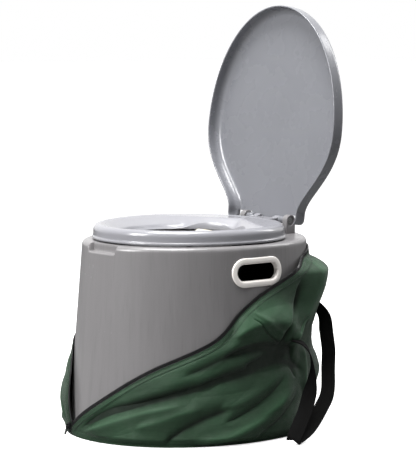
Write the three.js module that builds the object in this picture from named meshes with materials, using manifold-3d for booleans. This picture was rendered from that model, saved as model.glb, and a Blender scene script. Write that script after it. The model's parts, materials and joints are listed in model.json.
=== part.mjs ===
// Portable camp toilet standing in its opened carry bag.
//
// Units are millimetres and +Z is up. The origin is on the ground under the
// middle of the base. The user sits facing -Y, so +X is the toilet's left side.
// The lid stands open, which is how the object is stored in this frame.

import * as THREE from "three";
import { mergeVertices } from "three/addons/utils/BufferGeometryUtils.js";
import Module from "manifold-3d";

const wasm = await Module();
wasm.setup();

// ---------------------------------------------------------------------------
// Driving dimensions
// ---------------------------------------------------------------------------

const GAP = 0.3; // air left between pieces that touch in the real object
const STEPS = 60; // points around the large ovals

// Tapered oval casing: half width, half length and centre of its outline.
const CASING = {
  bottom: { z: 3, halfWidth: 194, halfLength: 228.5, centreY: -1 },
  top: { z: 336, halfWidth: 170, halfLength: 212, centreY: 5.5 },
  rearPower: 2.2,
  wall: 3,
  edgeRadius: 8,
};

// Oval well in the deck, the bucket that hangs in it and its lifting bail.
const WELL = { centreY: -22, halfWidth: 113, halfLength: 127, ledge: 10, ledgeZ: 328, bottomZ: 319 };
const BUCKET = {
  floorZ: 128,
  rimZ: WELL.ledgeZ + GAP,
  halfWidth: 109,
  halfLength: 123,
  floorScale: 0.78,
  wall: 2,
  flange: 11,
  flangeThickness: 3,
};
const BAIL = {
  z: 322,
  halfWidth: 95,
  reach: 80,
  straight: 54,
  wireRadius: 2.5,
  tilt: 10,
  earX: 98,
  earDepth: 10,
  earBore: 3.1,
};
const GRIP = { length: 100, outerRadius: 7.5, boreRadius: 3.2 };

// Seat ring: an egg outline round an oval opening.
const SEAT = {
  lipZ: 338.2,
  crownZ: 363,
  undersideZ: 351,
  halfWidth: 162.5,
  centreY: 12,
  frontLength: 198,
  rearLength: 152,
  rearPower: 2.05,
  openingWidth: 104,
  openingLength: 118,
  openingZ: 340.3,
  dishDepth: 21,
  sheet: 3.4,
  edgeRadius: 12,
  skirt: 4,
};
const BUFFER = { radius: 6, front: { x: 109, y: -98 }, rear: { x: 100, y: 120 } };

// Hinge line shared by seat and lid, and the pieces strung along it.
const HINGE = {
  y: 182,
  z: 359.5,
  knuckle: [19, 33.5],
  lug: [34.5, 50.5],
  post: [51.5, 63.5],
  barrelRadius: 6.5,
  postRadius: 10.5,
  boreRadius: 3.3,
  pinRadius: 3,
};

// Lid, measured from the hinge line with the lid closed.
const LID = {
  reach: 387,
  widestAt: 163.6,
  halfWidth: 168,
  neckHalfWidth: 92,
  neckBehind: 8,
  neckCorner: 14,
  topZ: 10.5,
  undersideZ: 7.5,
  rimZ: -16,
  wall: 2.6,
  edgeRadius: 8,
  gapX: [51, 86],
  gapFront: 9,
  openAngle: 96,
};

// White trims in the two hand slots.
const TRIM = { centreY: 4, centreZ: 290, length: 112, height: 47, holeLength: 91, holeHeight: 29 };
const TRIM_PROUD = 2.6;

// Notch in the front rim of the casing, for the fingers.
const NOTCH = { halfWidth: 36.5, floorZ: 322, backY: -192 };

// Fabric bag: its thickness and how far it lies off the casing. Each bulge of
// slack cloth is centred on one direction (degrees round the casing), fades
// over a span of degrees to either side, and rises and falls with height.
const BAG = { thickness: 3, lie: 1.6, baseThickness: 2.7, seamGap: 0.25 };
const BULGES = [
  { towards: 90, fade: [45, 88], from: 150, peak: 278, to: 305, depth: 36 },
  { towards: 60, fade: [8, 42], from: 55, peak: 100, to: 148, depth: 13 },
  { towards: 225, fade: [25, 70], from: -10, peak: 60, to: 150, depth: 9 },
];

// Opened zip edges as (degrees round the casing, height). -90 is the front
// middle, 0 the left side and 90 the rear middle, where both halves meet.
const ZIP_APEX = [-105, 12];
const ZIP_LEFT = [ZIP_APEX, [-84, 60], [-55, 123], [-24, 174], [-9, 226], [12, 268], [40, 306], [90, 318]];
const ZIP_RIGHT = [
  ZIP_APEX,
  [-108, 60],
  [-114, 108],
  [-124, 145],
  [-150, 175],
  [-171, 226],
  [-192, 268],
  [-220, 306],
  [-270, 318],
];
const ZIP = { width: 4.8, thickness: 2.2, slider: [9, 12, 3.5], pullWidth: 6, pullLength: 15, pullDroop: 70 };

// Carry strap: a webbing loop whose ends are sewn into seams of the bag. Each
// station is a point on its middle line and the direction across the webbing.
// The loop leaves the side seam, twists broad, folds over on the ground and
// climbs back to the rear seam.
const STRAP = { width: 25, thickness: 2.4 };
const STRAP_STATIONS = [
  { at: [186, 74, 168], across: [0.36, -0.93, 0] },
  { at: [201, 85, 161], across: [0.6, -0.8, 0] },
  { at: [212, 91, 145], across: [0.76, -0.65, 0] },
  { at: [217, 93, 122], across: [0.85, -0.5, 0] },
  { at: [219, 90, 98], across: [0.98, -0.1, -0.1] },
  { at: [223, 80, 73], across: [0.8, 0.55, -0.25] },
  { at: [234, 59, 48], across: [0.6, 0.71, -0.37] },
  { at: [250, 27, 24], across: [0.57, 0.67, -0.45] },
  { at: [258, 12, 12], across: [0.55, 0.65, -0.5] },
  { at: [256, 18, 10], across: [0.55, 0.65, -0.5] },
  { at: [239, 66, 22], across: [0.55, 0.65, -0.5] },
  { at: [217, 116, 48], across: [0.6, 0.7, -0.4] },
  { at: [202, 145, 70], across: [0.63, 0.74, -0.25] },
  { at: [178, 169, 108], across: [0.65, 0.76, -0.05] },
  { at: [167, 180, 137], across: [0.65, 0.76, 0] },
  { at: [153, 187, 170], across: [0.7, 0.7, 0.1] },
  { at: [146, 191, 188], across: [0.95, 0.3, 0.1] },
  { at: [140, 195, 200], across: [0.85, -0.5, 0] },
  { at: [135, 197, 206], across: [0.77, -0.64, 0] },
];

// ---------------------------------------------------------------------------
// Geometry helpers
// ---------------------------------------------------------------------------

const radians = THREE.MathUtils.degToRad;
const lerp = THREE.MathUtils.lerp;
const smoothstep = THREE.MathUtils.smoothstep;

// Outline angles start half a step off the front middle, so that point i and
// point STEPS - 1 - i mirror each other.
function outlineAngles(steps = STEPS) {
  return Array.from({ length: steps }, (_, i) => -Math.PI / 2 + ((i + 0.5) * 2 * Math.PI) / steps);
}

function ovalPoint(angle, oval) {
  const power = Math.sin(angle) > 0 ? oval.rearPower ?? 2 : 2;
  const bend = (value) => Math.sign(value) * Math.abs(value) ** (2 / power);
  const length = Math.sin(angle) > 0 ? oval.rearLength ?? oval.halfLength : oval.halfLength;
  return new THREE.Vector3(
    oval.halfWidth * bend(Math.cos(angle)),
    oval.centreY + length * bend(Math.sin(angle)),
    oval.z,
  );
}

function ovalRing(oval) {
  return outlineAngles().map((angle) => ovalPoint(angle, oval));
}

// Joins rings of equal length into one closed body. Open ends are closed by
// strips between point i and its mirror image.
function loft(rings, isLoop = false) {
  const count = rings[0].length;
  const positions = rings.flat().flatMap((p) => [p.x, p.y, p.z]);
  const index = [];
  const spans = isLoop ? rings.length : rings.length - 1;
  for (let r = 0; r < spans; r += 1) {
    const low = r * count;
    const high = ((r + 1) % rings.length) * count;
    for (let i = 0; i < count; i += 1) {
      const j = (i + 1) % count;
      index.push(low + i, low + j, high + j, low + i, high + j, high + i);
    }
  }
  if (!isLoop) {
    const last = (rings.length - 1) * count;
    for (let i = 0; i < count / 2 - 1; i += 1) {
      const mirror = count - 1 - i;
      index.push(i, mirror, i + 1, i + 1, mirror, mirror - 1);
      index.push(last + i, last + i + 1, last + mirror, last + i + 1, last + mirror - 1, last + mirror);
    }
  }
  const geometry = new THREE.BufferGeometry();
  geometry.setAttribute("position", new THREE.Float32BufferAttribute(positions, 3));
  geometry.setIndex(index);
  return facingOut(geometry);
}

// Turns the faces round when the body is inside out.
function facingOut(geometry) {
  const position = geometry.getAttribute("position");
  const index = geometry.getIndex().array;
  const [a, b, c] = [new THREE.Vector3(), new THREE.Vector3(), new THREE.Vector3()];
  let volume = 0;
  for (let i = 0; i < index.length; i += 3) {
    a.fromBufferAttribute(position, index[i]);
    b.fromBufferAttribute(position, index[i + 1]);
    c.fromBufferAttribute(position, index[i + 2]);
    volume += a.dot(b.cross(c));
  }
  if (volume < 0) geometry.setIndex(Array.from(index).reverse());
  return geometry;
}

function solid(geometry) {
  const bare = geometry.clone();
  bare.deleteAttribute("normal");
  bare.deleteAttribute("uv");
  const merged = mergeVertices(bare, 1e-4);
  const mesh = new wasm.Mesh({
    numProp: 3,
    vertProperties: new Float32Array(merged.getAttribute("position").array),
    triVerts: new Uint32Array(merged.getIndex().array),
  });
  return new wasm.Manifold(mesh);
}

function solidGeometry(body) {
  const mesh = body.getMesh();
  const geometry = new THREE.BufferGeometry();
  geometry.setAttribute("position", new THREE.BufferAttribute(new Float32Array(mesh.vertProperties), 3));
  geometry.setIndex(new THREE.BufferAttribute(new Uint32Array(mesh.triVerts), 1));
  return geometry;
}

// Box solid between two corners.
function boxSolid(low, high) {
  const size = high.map((value, axis) => value - low[axis]);
  const geometry = new THREE.BoxGeometry(...size);
  geometry.translate(...low.map((value, axis) => value + size[axis] / 2));
  return solid(geometry);
}

// Solid whose outline lies in the Y-Z plane, reaching from x0 to x1.
function sideways(shape, x0, x1, curveSegments = 8) {
  const geometry = new THREE.ExtrudeGeometry(shape, { depth: x1 - x0, bevelEnabled: false, curveSegments });
  geometry.applyMatrix4(new THREE.Matrix4().makeBasis(
    new THREE.Vector3(0, 1, 0),
    new THREE.Vector3(0, 0, 1),
    new THREE.Vector3(1, 0, 0),
  ));
  geometry.translate(x0, 0, 0);
  return solid(geometry);
}

function discShape(y, z, radius) {
  const shape = new THREE.Shape();
  shape.absarc(y, z, radius, 0, 2 * Math.PI);
  return shape;
}

function obroundShape(y, z, length, height) {
  const radius = height / 2;
  const straight = length / 2 - radius;
  const shape = new THREE.Shape();
  shape.absarc(y + straight, z, radius, -Math.PI / 2, Math.PI / 2);
  shape.absarc(y - straight, z, radius, Math.PI / 2, (3 * Math.PI) / 2);
  return shape;
}

// Lowest-first pair of x values for a span on the left (+1) or right (-1) side.
function spanX([inner, outer], side) {
  return side > 0 ? [inner, outer] : [-outer, -inner];
}

// ---------------------------------------------------------------------------
// Materials and scene graph helpers
// ---------------------------------------------------------------------------

function material(color, roughness, metalness = 0) {
  return new THREE.MeshStandardMaterial({ color, roughness, metalness });
}

const MATERIALS = {
  casing: material(0x8a8686, 0.45),
  seat: material(0xb4b4b9, 0.35),
  lid: material(0x96979b, 0.35),
  trim: material(0xe8e1dc, 0.4),
  bucket: material(0x3b3c3f, 0.5),
  grip: material(0xe3dfd2, 0.5),
  steel: material(0xb9bab8, 0.35, 0.9),
  rubber: material(0x2a2a2c, 0.8),
  fabric: material(0x1a2c1b, 0.85),
  webbing: material(0x0c0c0d, 0.9),
  zip: material(0x18181a, 0.6),
  slider: material(0x2c2c2e, 0.45, 0.6),
};

const toilet = new THREE.Group();

function addPiece(parent, name, geometry, finish) {
  geometry.computeVertexNormals();
  const mesh = new THREE.Mesh(geometry, finish);
  mesh.name = name;
  parent.add(mesh);
  return mesh;
}

// ---------------------------------------------------------------------------
// Casing
// ---------------------------------------------------------------------------

function casingOval(z, grow = 0) {
  const { bottom, top, rearPower } = CASING;
  const t = (z - bottom.z) / (top.z - bottom.z);
  return {
    z,
    rearPower,
    halfWidth: lerp(bottom.halfWidth, top.halfWidth, t) + grow,
    halfLength: lerp(bottom.halfLength, top.halfLength, t) + grow,
    centreY: lerp(bottom.centreY, top.centreY, t),
  };
}

function wellOval(z, grow = 0) {
  return {
    z,
    halfWidth: WELL.halfWidth + grow,
    halfLength: WELL.halfLength + grow,
    centreY: WELL.centreY,
  };
}

// Filled body inside the casing's outer surface, grown or shrunk sideways.
function casingFilled(grow, fromZ) {
  return solid(loft([ovalRing(casingOval(fromZ, grow)), ovalRing(casingOval(CASING.top.z, grow))]));
}

// Side wall, rounded top edge, flat deck and the stepped well that takes the
// bucket's flange.
function casingShell() {
  const { bottom, top, wall, edgeRadius } = CASING;
  const rings = [casingOval(bottom.z), casingOval(top.z - edgeRadius)];
  for (const degrees of [30, 60, 90]) {
    const turn = radians(degrees);
    const z = top.z - edgeRadius * (1 - Math.sin(turn));
    rings.push({ ...casingOval(z, -edgeRadius * (1 - Math.cos(turn))) });
  }
  const { ledge, ledgeZ, bottomZ } = WELL;
  rings.push(wellOval(top.z, ledge + 2), wellOval(top.z - 2, ledge), wellOval(ledgeZ, ledge));
  rings.push(wellOval(ledgeZ), wellOval(bottomZ), wellOval(bottomZ, wall), wellOval(ledgeZ - wall, wall));
  rings.push(wellOval(ledgeZ - wall, ledge + wall), wellOval(top.z - wall, ledge + wall + 1));
  rings.push(casingOval(top.z - wall, -edgeRadius));
  rings.push(casingOval(top.z - edgeRadius, -wall), casingOval(bottom.z, -wall));
  return solid(loft(rings.map(ovalRing), true));
}

// Hinge post: an upright tab with a round head about the hinge line, bored for
// the pin and with an oval recess in its outer face.
function postSolid(side) {
  const { y, z, post, postRadius, boreRadius } = HINGE;
  const footZ = CASING.top.z - CASING.wall + 1;
  const shape = new THREE.Shape();
  shape.moveTo(y - postRadius, footZ);
  shape.lineTo(y + postRadius, footZ);
  shape.absarc(y, z, postRadius, 0, Math.PI);
  const recess = new THREE.Shape();
  recess.absellipse(y, z - 0.5, 6.5, 8, 0, 2 * Math.PI);
  const recessSpan = spanX([post[1] - 3, post[1] + 2], side);
  return sideways(shape, ...spanX(post, side))
    .subtract(sideways(recess, ...recessSpan))
    .subtract(sideways(discShape(y, z, boreRadius), ...spanX([post[0] - 1, post[1]], side)));
}

function casingPiece() {
  const { halfWidth, floorZ, backY } = NOTCH;
  const ledge = boxSolid([-halfWidth - 4, -260, floorZ - 3.5], [halfWidth + 4, backY + 3, CASING.top.z - 2]);
  const notch = boxSolid([-halfWidth, -260, floorZ], [halfWidth, backY, CASING.top.z + 9]);
  let body = casingShell().add(ledge.intersect(casingFilled(-0.8, floorZ - 20))).subtract(notch);
  for (const side of [1, -1]) {
    const slot = obroundShape(TRIM.centreY, TRIM.centreZ, TRIM.holeLength + 8, TRIM.holeHeight + 8);
    body = body.subtract(sideways(slot, ...spanX([140, 210], side)));
    body = body.add(postSolid(side));
  }
  return solidGeometry(body);
}

// Trim: a flange lying on the curved casing and a sleeve through its wall.
function trimPiece(side) {
  const span = spanX([140, 210], side);
  const outline = (length, height) =>
    sideways(obroundShape(TRIM.centreY, TRIM.centreZ, length, height), ...span);
  const fromZ = 220;
  const flange = outline(TRIM.length, TRIM.height)
    .intersect(casingFilled(TRIM_PROUD, fromZ).subtract(casingFilled(GAP, fromZ)));
  const sleeve = outline(TRIM.holeLength + 7, TRIM.holeHeight + 7)
    .intersect(casingFilled(TRIM_PROUD, fromZ).subtract(casingFilled(-8, fromZ)));
  return solidGeometry(flange.add(sleeve).subtract(outline(TRIM.holeLength, TRIM.holeHeight)));
}

// ---------------------------------------------------------------------------
// Bucket with bail and grip
// ---------------------------------------------------------------------------

function bucketOval(z, grow = 0) {
  const t = (z - BUCKET.floorZ) / (BUCKET.rimZ - BUCKET.floorZ);
  const scale = lerp(BUCKET.floorScale, 1, t);
  return {
    z,
    centreY: WELL.centreY,
    halfWidth: BUCKET.halfWidth * scale + grow,
    halfLength: BUCKET.halfLength * scale + grow,
  };
}

// Ear inside the rim, bored along X for one end of the bail.
function earSolid(side) {
  const { z, earX, earDepth } = BAIL;
  const shape = new THREE.Shape();
  shape.absarc(WELL.centreY, z - 1, 7.5, 0, Math.PI);
  shape.lineTo(WELL.centreY - 7.5, z - 14);
  shape.lineTo(WELL.centreY + 7.5, z - 14);
  return sideways(shape, ...spanX([earX, earX + earDepth + 1], side));
}

function bucketPiece() {
  const { floorZ, rimZ, wall, flange, flangeThickness, floorScale } = BUCKET;
  const rings = [
    bucketOval(floorZ, -6),
    bucketOval(floorZ + 6),
    bucketOval(rimZ - 3, wall),
    bucketOval(rimZ, wall),
    bucketOval(rimZ, flange),
    bucketOval(rimZ + flangeThickness, flange - 1),
    bucketOval(rimZ + flangeThickness, 1),
    bucketOval(rimZ),
    bucketOval(floorZ + 8, -wall),
    bucketOval(floorZ + wall, -8),
  ];
  let body = solid(loft(rings.map(ovalRing)));
  for (const side of [1, -1]) {
    const bore = discShape(WELL.centreY, BAIL.z, BAIL.earBore);
    body = body.add(earSolid(side)).subtract(sideways(bore, ...spanX([BAIL.earX - 2, BAIL.earX + 8], side)));
  }
  return solidGeometry(body);
}

// Bail in its own frame: pivot along X, hoop standing up along +Z, with a
// straight top between two elliptical shoulders.
function bailPiece() {
  const { halfWidth, reach, straight, earX, wireRadius } = BAIL;
  const shoulder = outlineAngles(40)
    .filter((angle) => angle > 0 && angle < Math.PI / 2)
    .map((angle) => new THREE.Vector3(
      straight + (halfWidth - straight) * Math.cos(angle),
      0,
      reach * Math.sin(angle),
    ));
  const half = [
    new THREE.Vector3(earX + 7, 0, 0),
    new THREE.Vector3(halfWidth + 1, 0, 0),
    ...shoulder,
    new THREE.Vector3(straight, 0, reach),
  ];
  const mirrored = half.map((point) => point.clone().setX(-point.x)).reverse();
  const points = [...half, ...mirrored];
  const rings = points.map((point, i) => {
    const before = points[Math.max(i - 1, 0)];
    const after = points[Math.min(i + 1, points.length - 1)];
    const along = after.clone().sub(before).normalize();
    const across = new THREE.Vector3(0, 1, 0);
    const outward = new THREE.Vector3().crossVectors(along, across);
    return Array.from({ length: 8 }, (_, k) => {
      const turn = ((k + 0.5) * 2 * Math.PI) / 8;
      return point.clone()
        .addScaledVector(across, wireRadius * Math.cos(turn))
        .addScaledVector(outward, wireRadius * Math.sin(turn));
    });
  });
  return loft(rings);
}

// Grip: a bored sleeve that turns on the straight top of the bail.
function gripPiece() {
  const { length, outerRadius, boreRadius } = GRIP;
  const half = length / 2;
  const profile = [
    [boreRadius, -half],
    [outerRadius - 1.5, -half],
    [outerRadius, -half + 3],
    [outerRadius, half - 3],
    [outerRadius - 1.5, half],
    [boreRadius, half],
    [boreRadius, -half],
  ].map(([r, y]) => new THREE.Vector2(r, y));
  const geometry = new THREE.LatheGeometry(profile, 16);
  geometry.rotateZ(Math.PI / 2);
  return geometry;
}

// ---------------------------------------------------------------------------
// Seat
// ---------------------------------------------------------------------------

function seatOuterRing(inset, z) {
  return ovalRing({
    z,
    halfWidth: SEAT.halfWidth - inset,
    halfLength: SEAT.frontLength - inset,
    rearLength: SEAT.rearLength - inset,
    rearPower: SEAT.rearPower,
    centreY: SEAT.centreY,
  });
}

function openingRing(grow, z) {
  return ovalRing({
    z,
    halfWidth: SEAT.openingWidth + grow,
    halfLength: SEAT.openingLength + grow,
    centreY: WELL.centreY,
  });
}

// Ring part of the way from the crown to the opening, for the dished top.
function dishedRing(share, z) {
  const outer = seatOuterRing(SEAT.edgeRadius + 8, z);
  const inner = openingRing(0, z);
  return outer.map((point, i) => point.lerp(inner[i], share));
}

function seatRingSolid() {
  const { lipZ, crownZ, undersideZ, edgeRadius, skirt, openingZ, dishDepth, sheet } = SEAT;
  const rings = [
    seatOuterRing(0.8, lipZ),
    seatOuterRing(0, lipZ + 1.5),
    seatOuterRing(0, lipZ + 4),
    seatOuterRing(1.5, lipZ + 5),
    seatOuterRing(1.5, crownZ - edgeRadius),
  ];
  for (const degrees of [30, 60, 90]) {
    const turn = radians(degrees);
    rings.push(seatOuterRing(
      1.5 + edgeRadius * (1 - Math.cos(turn)),
      crownZ - edgeRadius * (1 - Math.sin(turn)),
    ));
  }
  const slopeZ = (share) => crownZ - dishDepth * share * 0.85;
  for (const share of [0.15, 0.5, 0.85]) rings.push(dishedRing(share, slopeZ(share)));
  rings.push(openingRing(0, crownZ - dishDepth), openingRing(0, openingZ), openingRing(5, openingZ));
  rings.push(dishedRing(0.5, slopeZ(0.5) - sheet), dishedRing(0.15, undersideZ));
  rings.push(seatOuterRing(skirt, undersideZ), seatOuterRing(skirt, lipZ));
  return solid(loft(rings, true));
}

// Tab behind the opening that ends in the hinge barrel. Between the two
// knuckles the barrel is levelled with the seat's top.
function seatPiece() {
  const { y, z, knuckle, barrelRadius, boreRadius } = HINGE;
  const tab = new THREE.Shape();
  tab.moveTo(y - 52, SEAT.undersideZ);
  tab.lineTo(y - 8, SEAT.undersideZ);
  tab.absarc(y, z, barrelRadius, radians(200), radians(450));
  tab.lineTo(y - 20, SEAT.crownZ);
  tab.lineTo(y - 60, SEAT.crownZ - 5);
  const above = boxSolid([-knuckle[0], y - 22, SEAT.crownZ - 0.8], [knuckle[0], y + 10, SEAT.crownZ + 8]);
  const body = seatRingSolid()
    .add(sideways(tab, -knuckle[1], knuckle[1]))
    .subtract(above)
    .subtract(sideways(discShape(y, z, boreRadius), -knuckle[1] - 2, knuckle[1] + 2));
  return solidGeometry(body);
}

// ---------------------------------------------------------------------------
// Lid
// ---------------------------------------------------------------------------

// Lid outline in the closed position: x across, y forward of the hinge as -Y.
function lidOutline() {
  const { reach, widestAt, halfWidth, neckHalfWidth, neckBehind, neckCorner } = LID;
  const half = new THREE.Path();
  half.moveTo(0, -reach);
  half.absellipse(0, -widestAt, halfWidth, reach - widestAt, radians(-90), 0);
  half.bezierCurveTo(halfWidth, -113, 140, -82, 117.5, -55);
  half.bezierCurveTo(106, -41.5, neckHalfWidth, -26, neckHalfWidth, -12);
  half.lineTo(neckHalfWidth, neckBehind - neckCorner);
  half.quadraticCurveTo(neckHalfWidth, neckBehind, neckHalfWidth - neckCorner, neckBehind);
  const points = half.getPoints(6).filter((point, i, all) => i > 0 && point.distanceTo(all[i - 1]) > 0.5);
  const mirrored = points.map((point) => new THREE.Vector2(-point.x, point.y)).reverse();
  return [...points, ...mirrored];
}

// Outline moved inwards by an even distance, with mitred corners.
function insetOutline(points, distance) {
  return points.map((point, i) => {
    const before = points[(i + points.length - 1) % points.length];
    const after = points[(i + 1) % points.length];
    const into = point.clone().sub(before).normalize();
    const away = after.clone().sub(point).normalize();
    const mitre = new THREE.Vector2(-into.y - away.y, into.x + away.x).divideScalar(1 + into.dot(away));
    return point.clone().addScaledVector(mitre, distance);
  });
}

// Lug under the lid: a bored barrel hung from the plate by a web.
function lidLug(side) {
  const { lug, barrelRadius, boreRadius } = HINGE;
  const shape = new THREE.Shape();
  shape.absarc(0, 0, barrelRadius, Math.PI, 2 * Math.PI);
  shape.lineTo(barrelRadius, LID.undersideZ + 1);
  shape.lineTo(-barrelRadius, LID.undersideZ + 1);
  return sideways(shape, ...spanX(lug, side))
    .subtract(sideways(discShape(0, 0, boreRadius), ...spanX([lug[0] - 1, lug[1] + 1], side)));
}

function lidPiece() {
  const { topZ, undersideZ, rimZ, wall, edgeRadius, gapX, gapFront } = LID;
  const outline = lidOutline();
  const ring = (inset, z) => insetOutline(outline, inset).map((p) => new THREE.Vector3(p.x, p.y, z));
  const rings = [ring(edgeRadius, topZ)];
  for (const degrees of [60, 30, 0]) {
    const turn = radians(degrees);
    rings.push(ring(edgeRadius * (1 - Math.cos(turn)), topZ - edgeRadius * (1 - Math.sin(turn))));
  }
  rings.push(ring(0, rimZ + 1), ring(0.8, rimZ), ring(wall - 0.6, rimZ), ring(wall, rimZ + 1));
  rings.push(ring(wall, undersideZ - 4), ring(wall + 3, undersideZ));
  let body = solid(loft(rings));
  // The rear wall is open between the corners, and the plate is cut away over
  // the casing's posts, so that the lid swings past them.
  body = body.subtract(boxSolid([-gapX[1], -3.5, rimZ - 1], [gapX[1], 14, undersideZ + 0.3]));
  for (const side of [1, -1]) {
    const [x0, x1] = spanX(gapX, side);
    body = body.subtract(boxSolid([x0, -gapFront, 2], [x1, 14, topZ + 1])).add(lidLug(side));
  }
  return solidGeometry(body);
}

// Hinge pin with a low head that sits in the post's recess.
function pinPiece(side) {
  const { post, knuckle, pinRadius } = HINGE;
  const headX = post[1] - 3 + GAP;
  const profile = [
    [0, knuckle[0] - 1],
    [pinRadius, knuckle[0] - 1],
    [pinRadius, headX],
    [5, headX],
    [5, headX + 0.8],
    [4, headX + 1.4],
    [0, headX + 1.4],
  ].map(([r, x]) => new THREE.Vector2(r, x));
  const geometry = new THREE.LatheGeometry(profile, 20);
  geometry.rotateZ(side > 0 ? -Math.PI / 2 : Math.PI / 2);
  return geometry;
}

// Rubber buffer between the seat and the casing's deck, a low stud along Z.
function bufferPiece() {
  const { radius } = BUFFER;
  const bottomZ = CASING.top.z + GAP;
  const topZ = SEAT.undersideZ - GAP;
  const profile = [
    [0, bottomZ],
    [radius - 1.5, bottomZ],
    [radius, bottomZ + 1.2],
    [radius, topZ],
    [0, topZ],
  ].map(([r, z]) => new THREE.Vector2(r, z));
  const geometry = new THREE.LatheGeometry(profile, 14);
  geometry.rotateX(Math.PI / 2);
  return geometry;
}

// ---------------------------------------------------------------------------
// Carry bag with its opened zip
// ---------------------------------------------------------------------------

// How far the slack cloth stands off the casing.
function bagSlack(angle, z) {
  const degrees = THREE.MathUtils.radToDeg(angle);
  return BULGES.reduce((total, { towards, fade, from, peak, to, depth }) => {
    const apart = Math.abs(THREE.MathUtils.euclideanModulo(degrees - towards + 180, 360) - 180);
    const up = smoothstep(z, from, peak) * (1 - smoothstep(z, peak, to));
    return total + depth * (1 - smoothstep(apart, ...fade)) * up;
  }, 0);
}

function bagPoint(angle, z, standOff) {
  return ovalPoint(angle, casingOval(z, standOff + bagSlack(angle, z)));
}

// Flat panel under the casing, cut to the foot of the bag's sides.
function bagBasePiece() {
  const oval = casingOval(CASING.bottom.z, BAG.lie + BAG.thickness);
  return loft([ovalRing({ ...oval, z: 0 }), ovalRing({ ...oval, z: BAG.baseThickness })]);
}

// Zip edge as a smooth curve of (angle in radians, height).
function zipCurve(corners) {
  const curve = new THREE.SplineCurve(corners.map(([degrees, z]) => new THREE.Vector2(degrees, z)));
  return curve.getPoints(44).map((point) => new THREE.Vector2(radians(point.x), point.y));
}

// One half of the bag: upright strips from the base to the zip edge.
function bagSidePiece(corners) {
  const levels = 9;
  const foot = BAG.baseThickness + GAP;
  const seam = BAG.seamGap * Math.sign(corners[1][0] - corners[0][0]);
  const strips = zipCurve(corners).map((edge, i, all) => {
    const trim = i === 0 ? seam : i === all.length - 1 ? -seam : 0;
    const angle = edge.x + radians(trim);
    const side = (standOff) => Array.from({ length: levels }, (_, k) => {
      const z = lerp(foot, edge.y, k / (levels - 1));
      return bagPoint(angle, z, standOff);
    });
    return [...side(BAG.lie), ...side(BAG.lie + BAG.thickness).reverse()];
  });
  return loft(strips);
}

// Zip tape with its row of teeth, running just above the cloth's edge.
function zipTapePiece(corners) {
  const curve = zipCurve(corners);
  const middle = BAG.lie + BAG.thickness / 2;
  const points = curve.map((edge) => bagPoint(edge.x, edge.y, middle)).slice(2, -1);
  const outer = curve.map((edge) => bagPoint(edge.x, edge.y, middle + 5)).slice(2, -1);
  const isLeft = corners[1][0] > corners[0][0];
  const rings = points.map((point, i) => {
    const before = points[Math.max(i - 1, 0)];
    const after = points[Math.min(i + 1, points.length - 1)];
    const along = after.clone().sub(before).normalize();
    const outward = outer[i].clone().sub(point).normalize();
    const away = new THREE.Vector3().crossVectors(outward, along).multiplyScalar(isLeft ? 1 : -1).normalize();
    const face = new THREE.Vector3().crossVectors(along, away).normalize();
    const near = GAP + 0.5;
    return [[near, -1], [near + ZIP.width, -1], [near + ZIP.width, 1], [near, 1]].map(([reach, share]) =>
      point.clone().addScaledVector(away, reach).addScaledVector(face, (share * ZIP.thickness) / 2));
  });
  return loft(rings);
}

// Frame of the zip's lower end: outward from the casing and along the ground.
function apexFrame() {
  const angle = radians(ZIP_APEX[0]);
  const outward = bagPoint(angle, 12, 10).sub(bagPoint(angle, 12, 0)).setZ(0).normalize();
  const group = new THREE.Group();
  const across = new THREE.Vector3(0, 0, 1).cross(outward).negate();
  group.position.copy(bagPoint(angle, ZIP_APEX[1] + 4, BAG.lie + BAG.thickness + 1.6));
  group.quaternion.setFromRotationMatrix(
    new THREE.Matrix4().makeBasis(across, outward, new THREE.Vector3(0, 0, 1)),
  );
  return group;
}

// Wedge-shaped slider body with an arch for the pull. Its local +Y points away
// from the casing and +Z up.
function sliderPiece() {
  const [width, height, depth] = ZIP.slider;
  const shape = new THREE.Shape();
  shape.moveTo(-width / 2, height / 2);
  shape.quadraticCurveTo(0, height / 2 + 2, width / 2, height / 2);
  shape.lineTo(width / 3, -height / 2);
  shape.lineTo(-width / 3, -height / 2);
  const geometry = new THREE.ExtrudeGeometry(shape, { depth, bevelEnabled: false, curveSegments: 5 });
  geometry.rotateX(Math.PI / 2);
  geometry.rotateZ(Math.PI);
  const arch = boxSolid([-1, depth - 0.5, -4], [1, depth + 4.2, 4])
    .subtract(boxSolid([-2, depth, -2], [2, depth + 2.6, 2]));
  return solidGeometry(solid(geometry).add(arch));
}

// Pull in its own frame: pivot along X, tab along +Y.
function pullPiece() {
  const { pullWidth, pullLength } = ZIP;
  const half = pullWidth / 2;
  const tab = new THREE.Shape();
  tab.moveTo(-half, -0.8);
  tab.lineTo(half, -0.8);
  tab.lineTo(half, pullLength - 2);
  tab.quadraticCurveTo(half, pullLength, half - 2, pullLength);
  tab.lineTo(-half + 2, pullLength);
  tab.quadraticCurveTo(-half, pullLength, -half, pullLength - 2);
  const eye = new THREE.Path();
  eye.moveTo(-1.6, 0.8);
  eye.lineTo(1.6, 0.8);
  eye.lineTo(1.6, 5.4);
  eye.lineTo(-1.6, 5.4);
  tab.holes.push(eye);
  const geometry = new THREE.ExtrudeGeometry(tab, { depth: 1.4, bevelEnabled: false, curveSegments: 4 });
  geometry.translate(0, 0, -0.7);
  return geometry;
}

// Stop clamped across both tape ends, under the slider.
function bottomStopPiece() {
  return solidGeometry(boxSolid([-3, 0, -10.5], [3, 2.5, -7]));
}

// ---------------------------------------------------------------------------
// Carry strap
// ---------------------------------------------------------------------------

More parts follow.
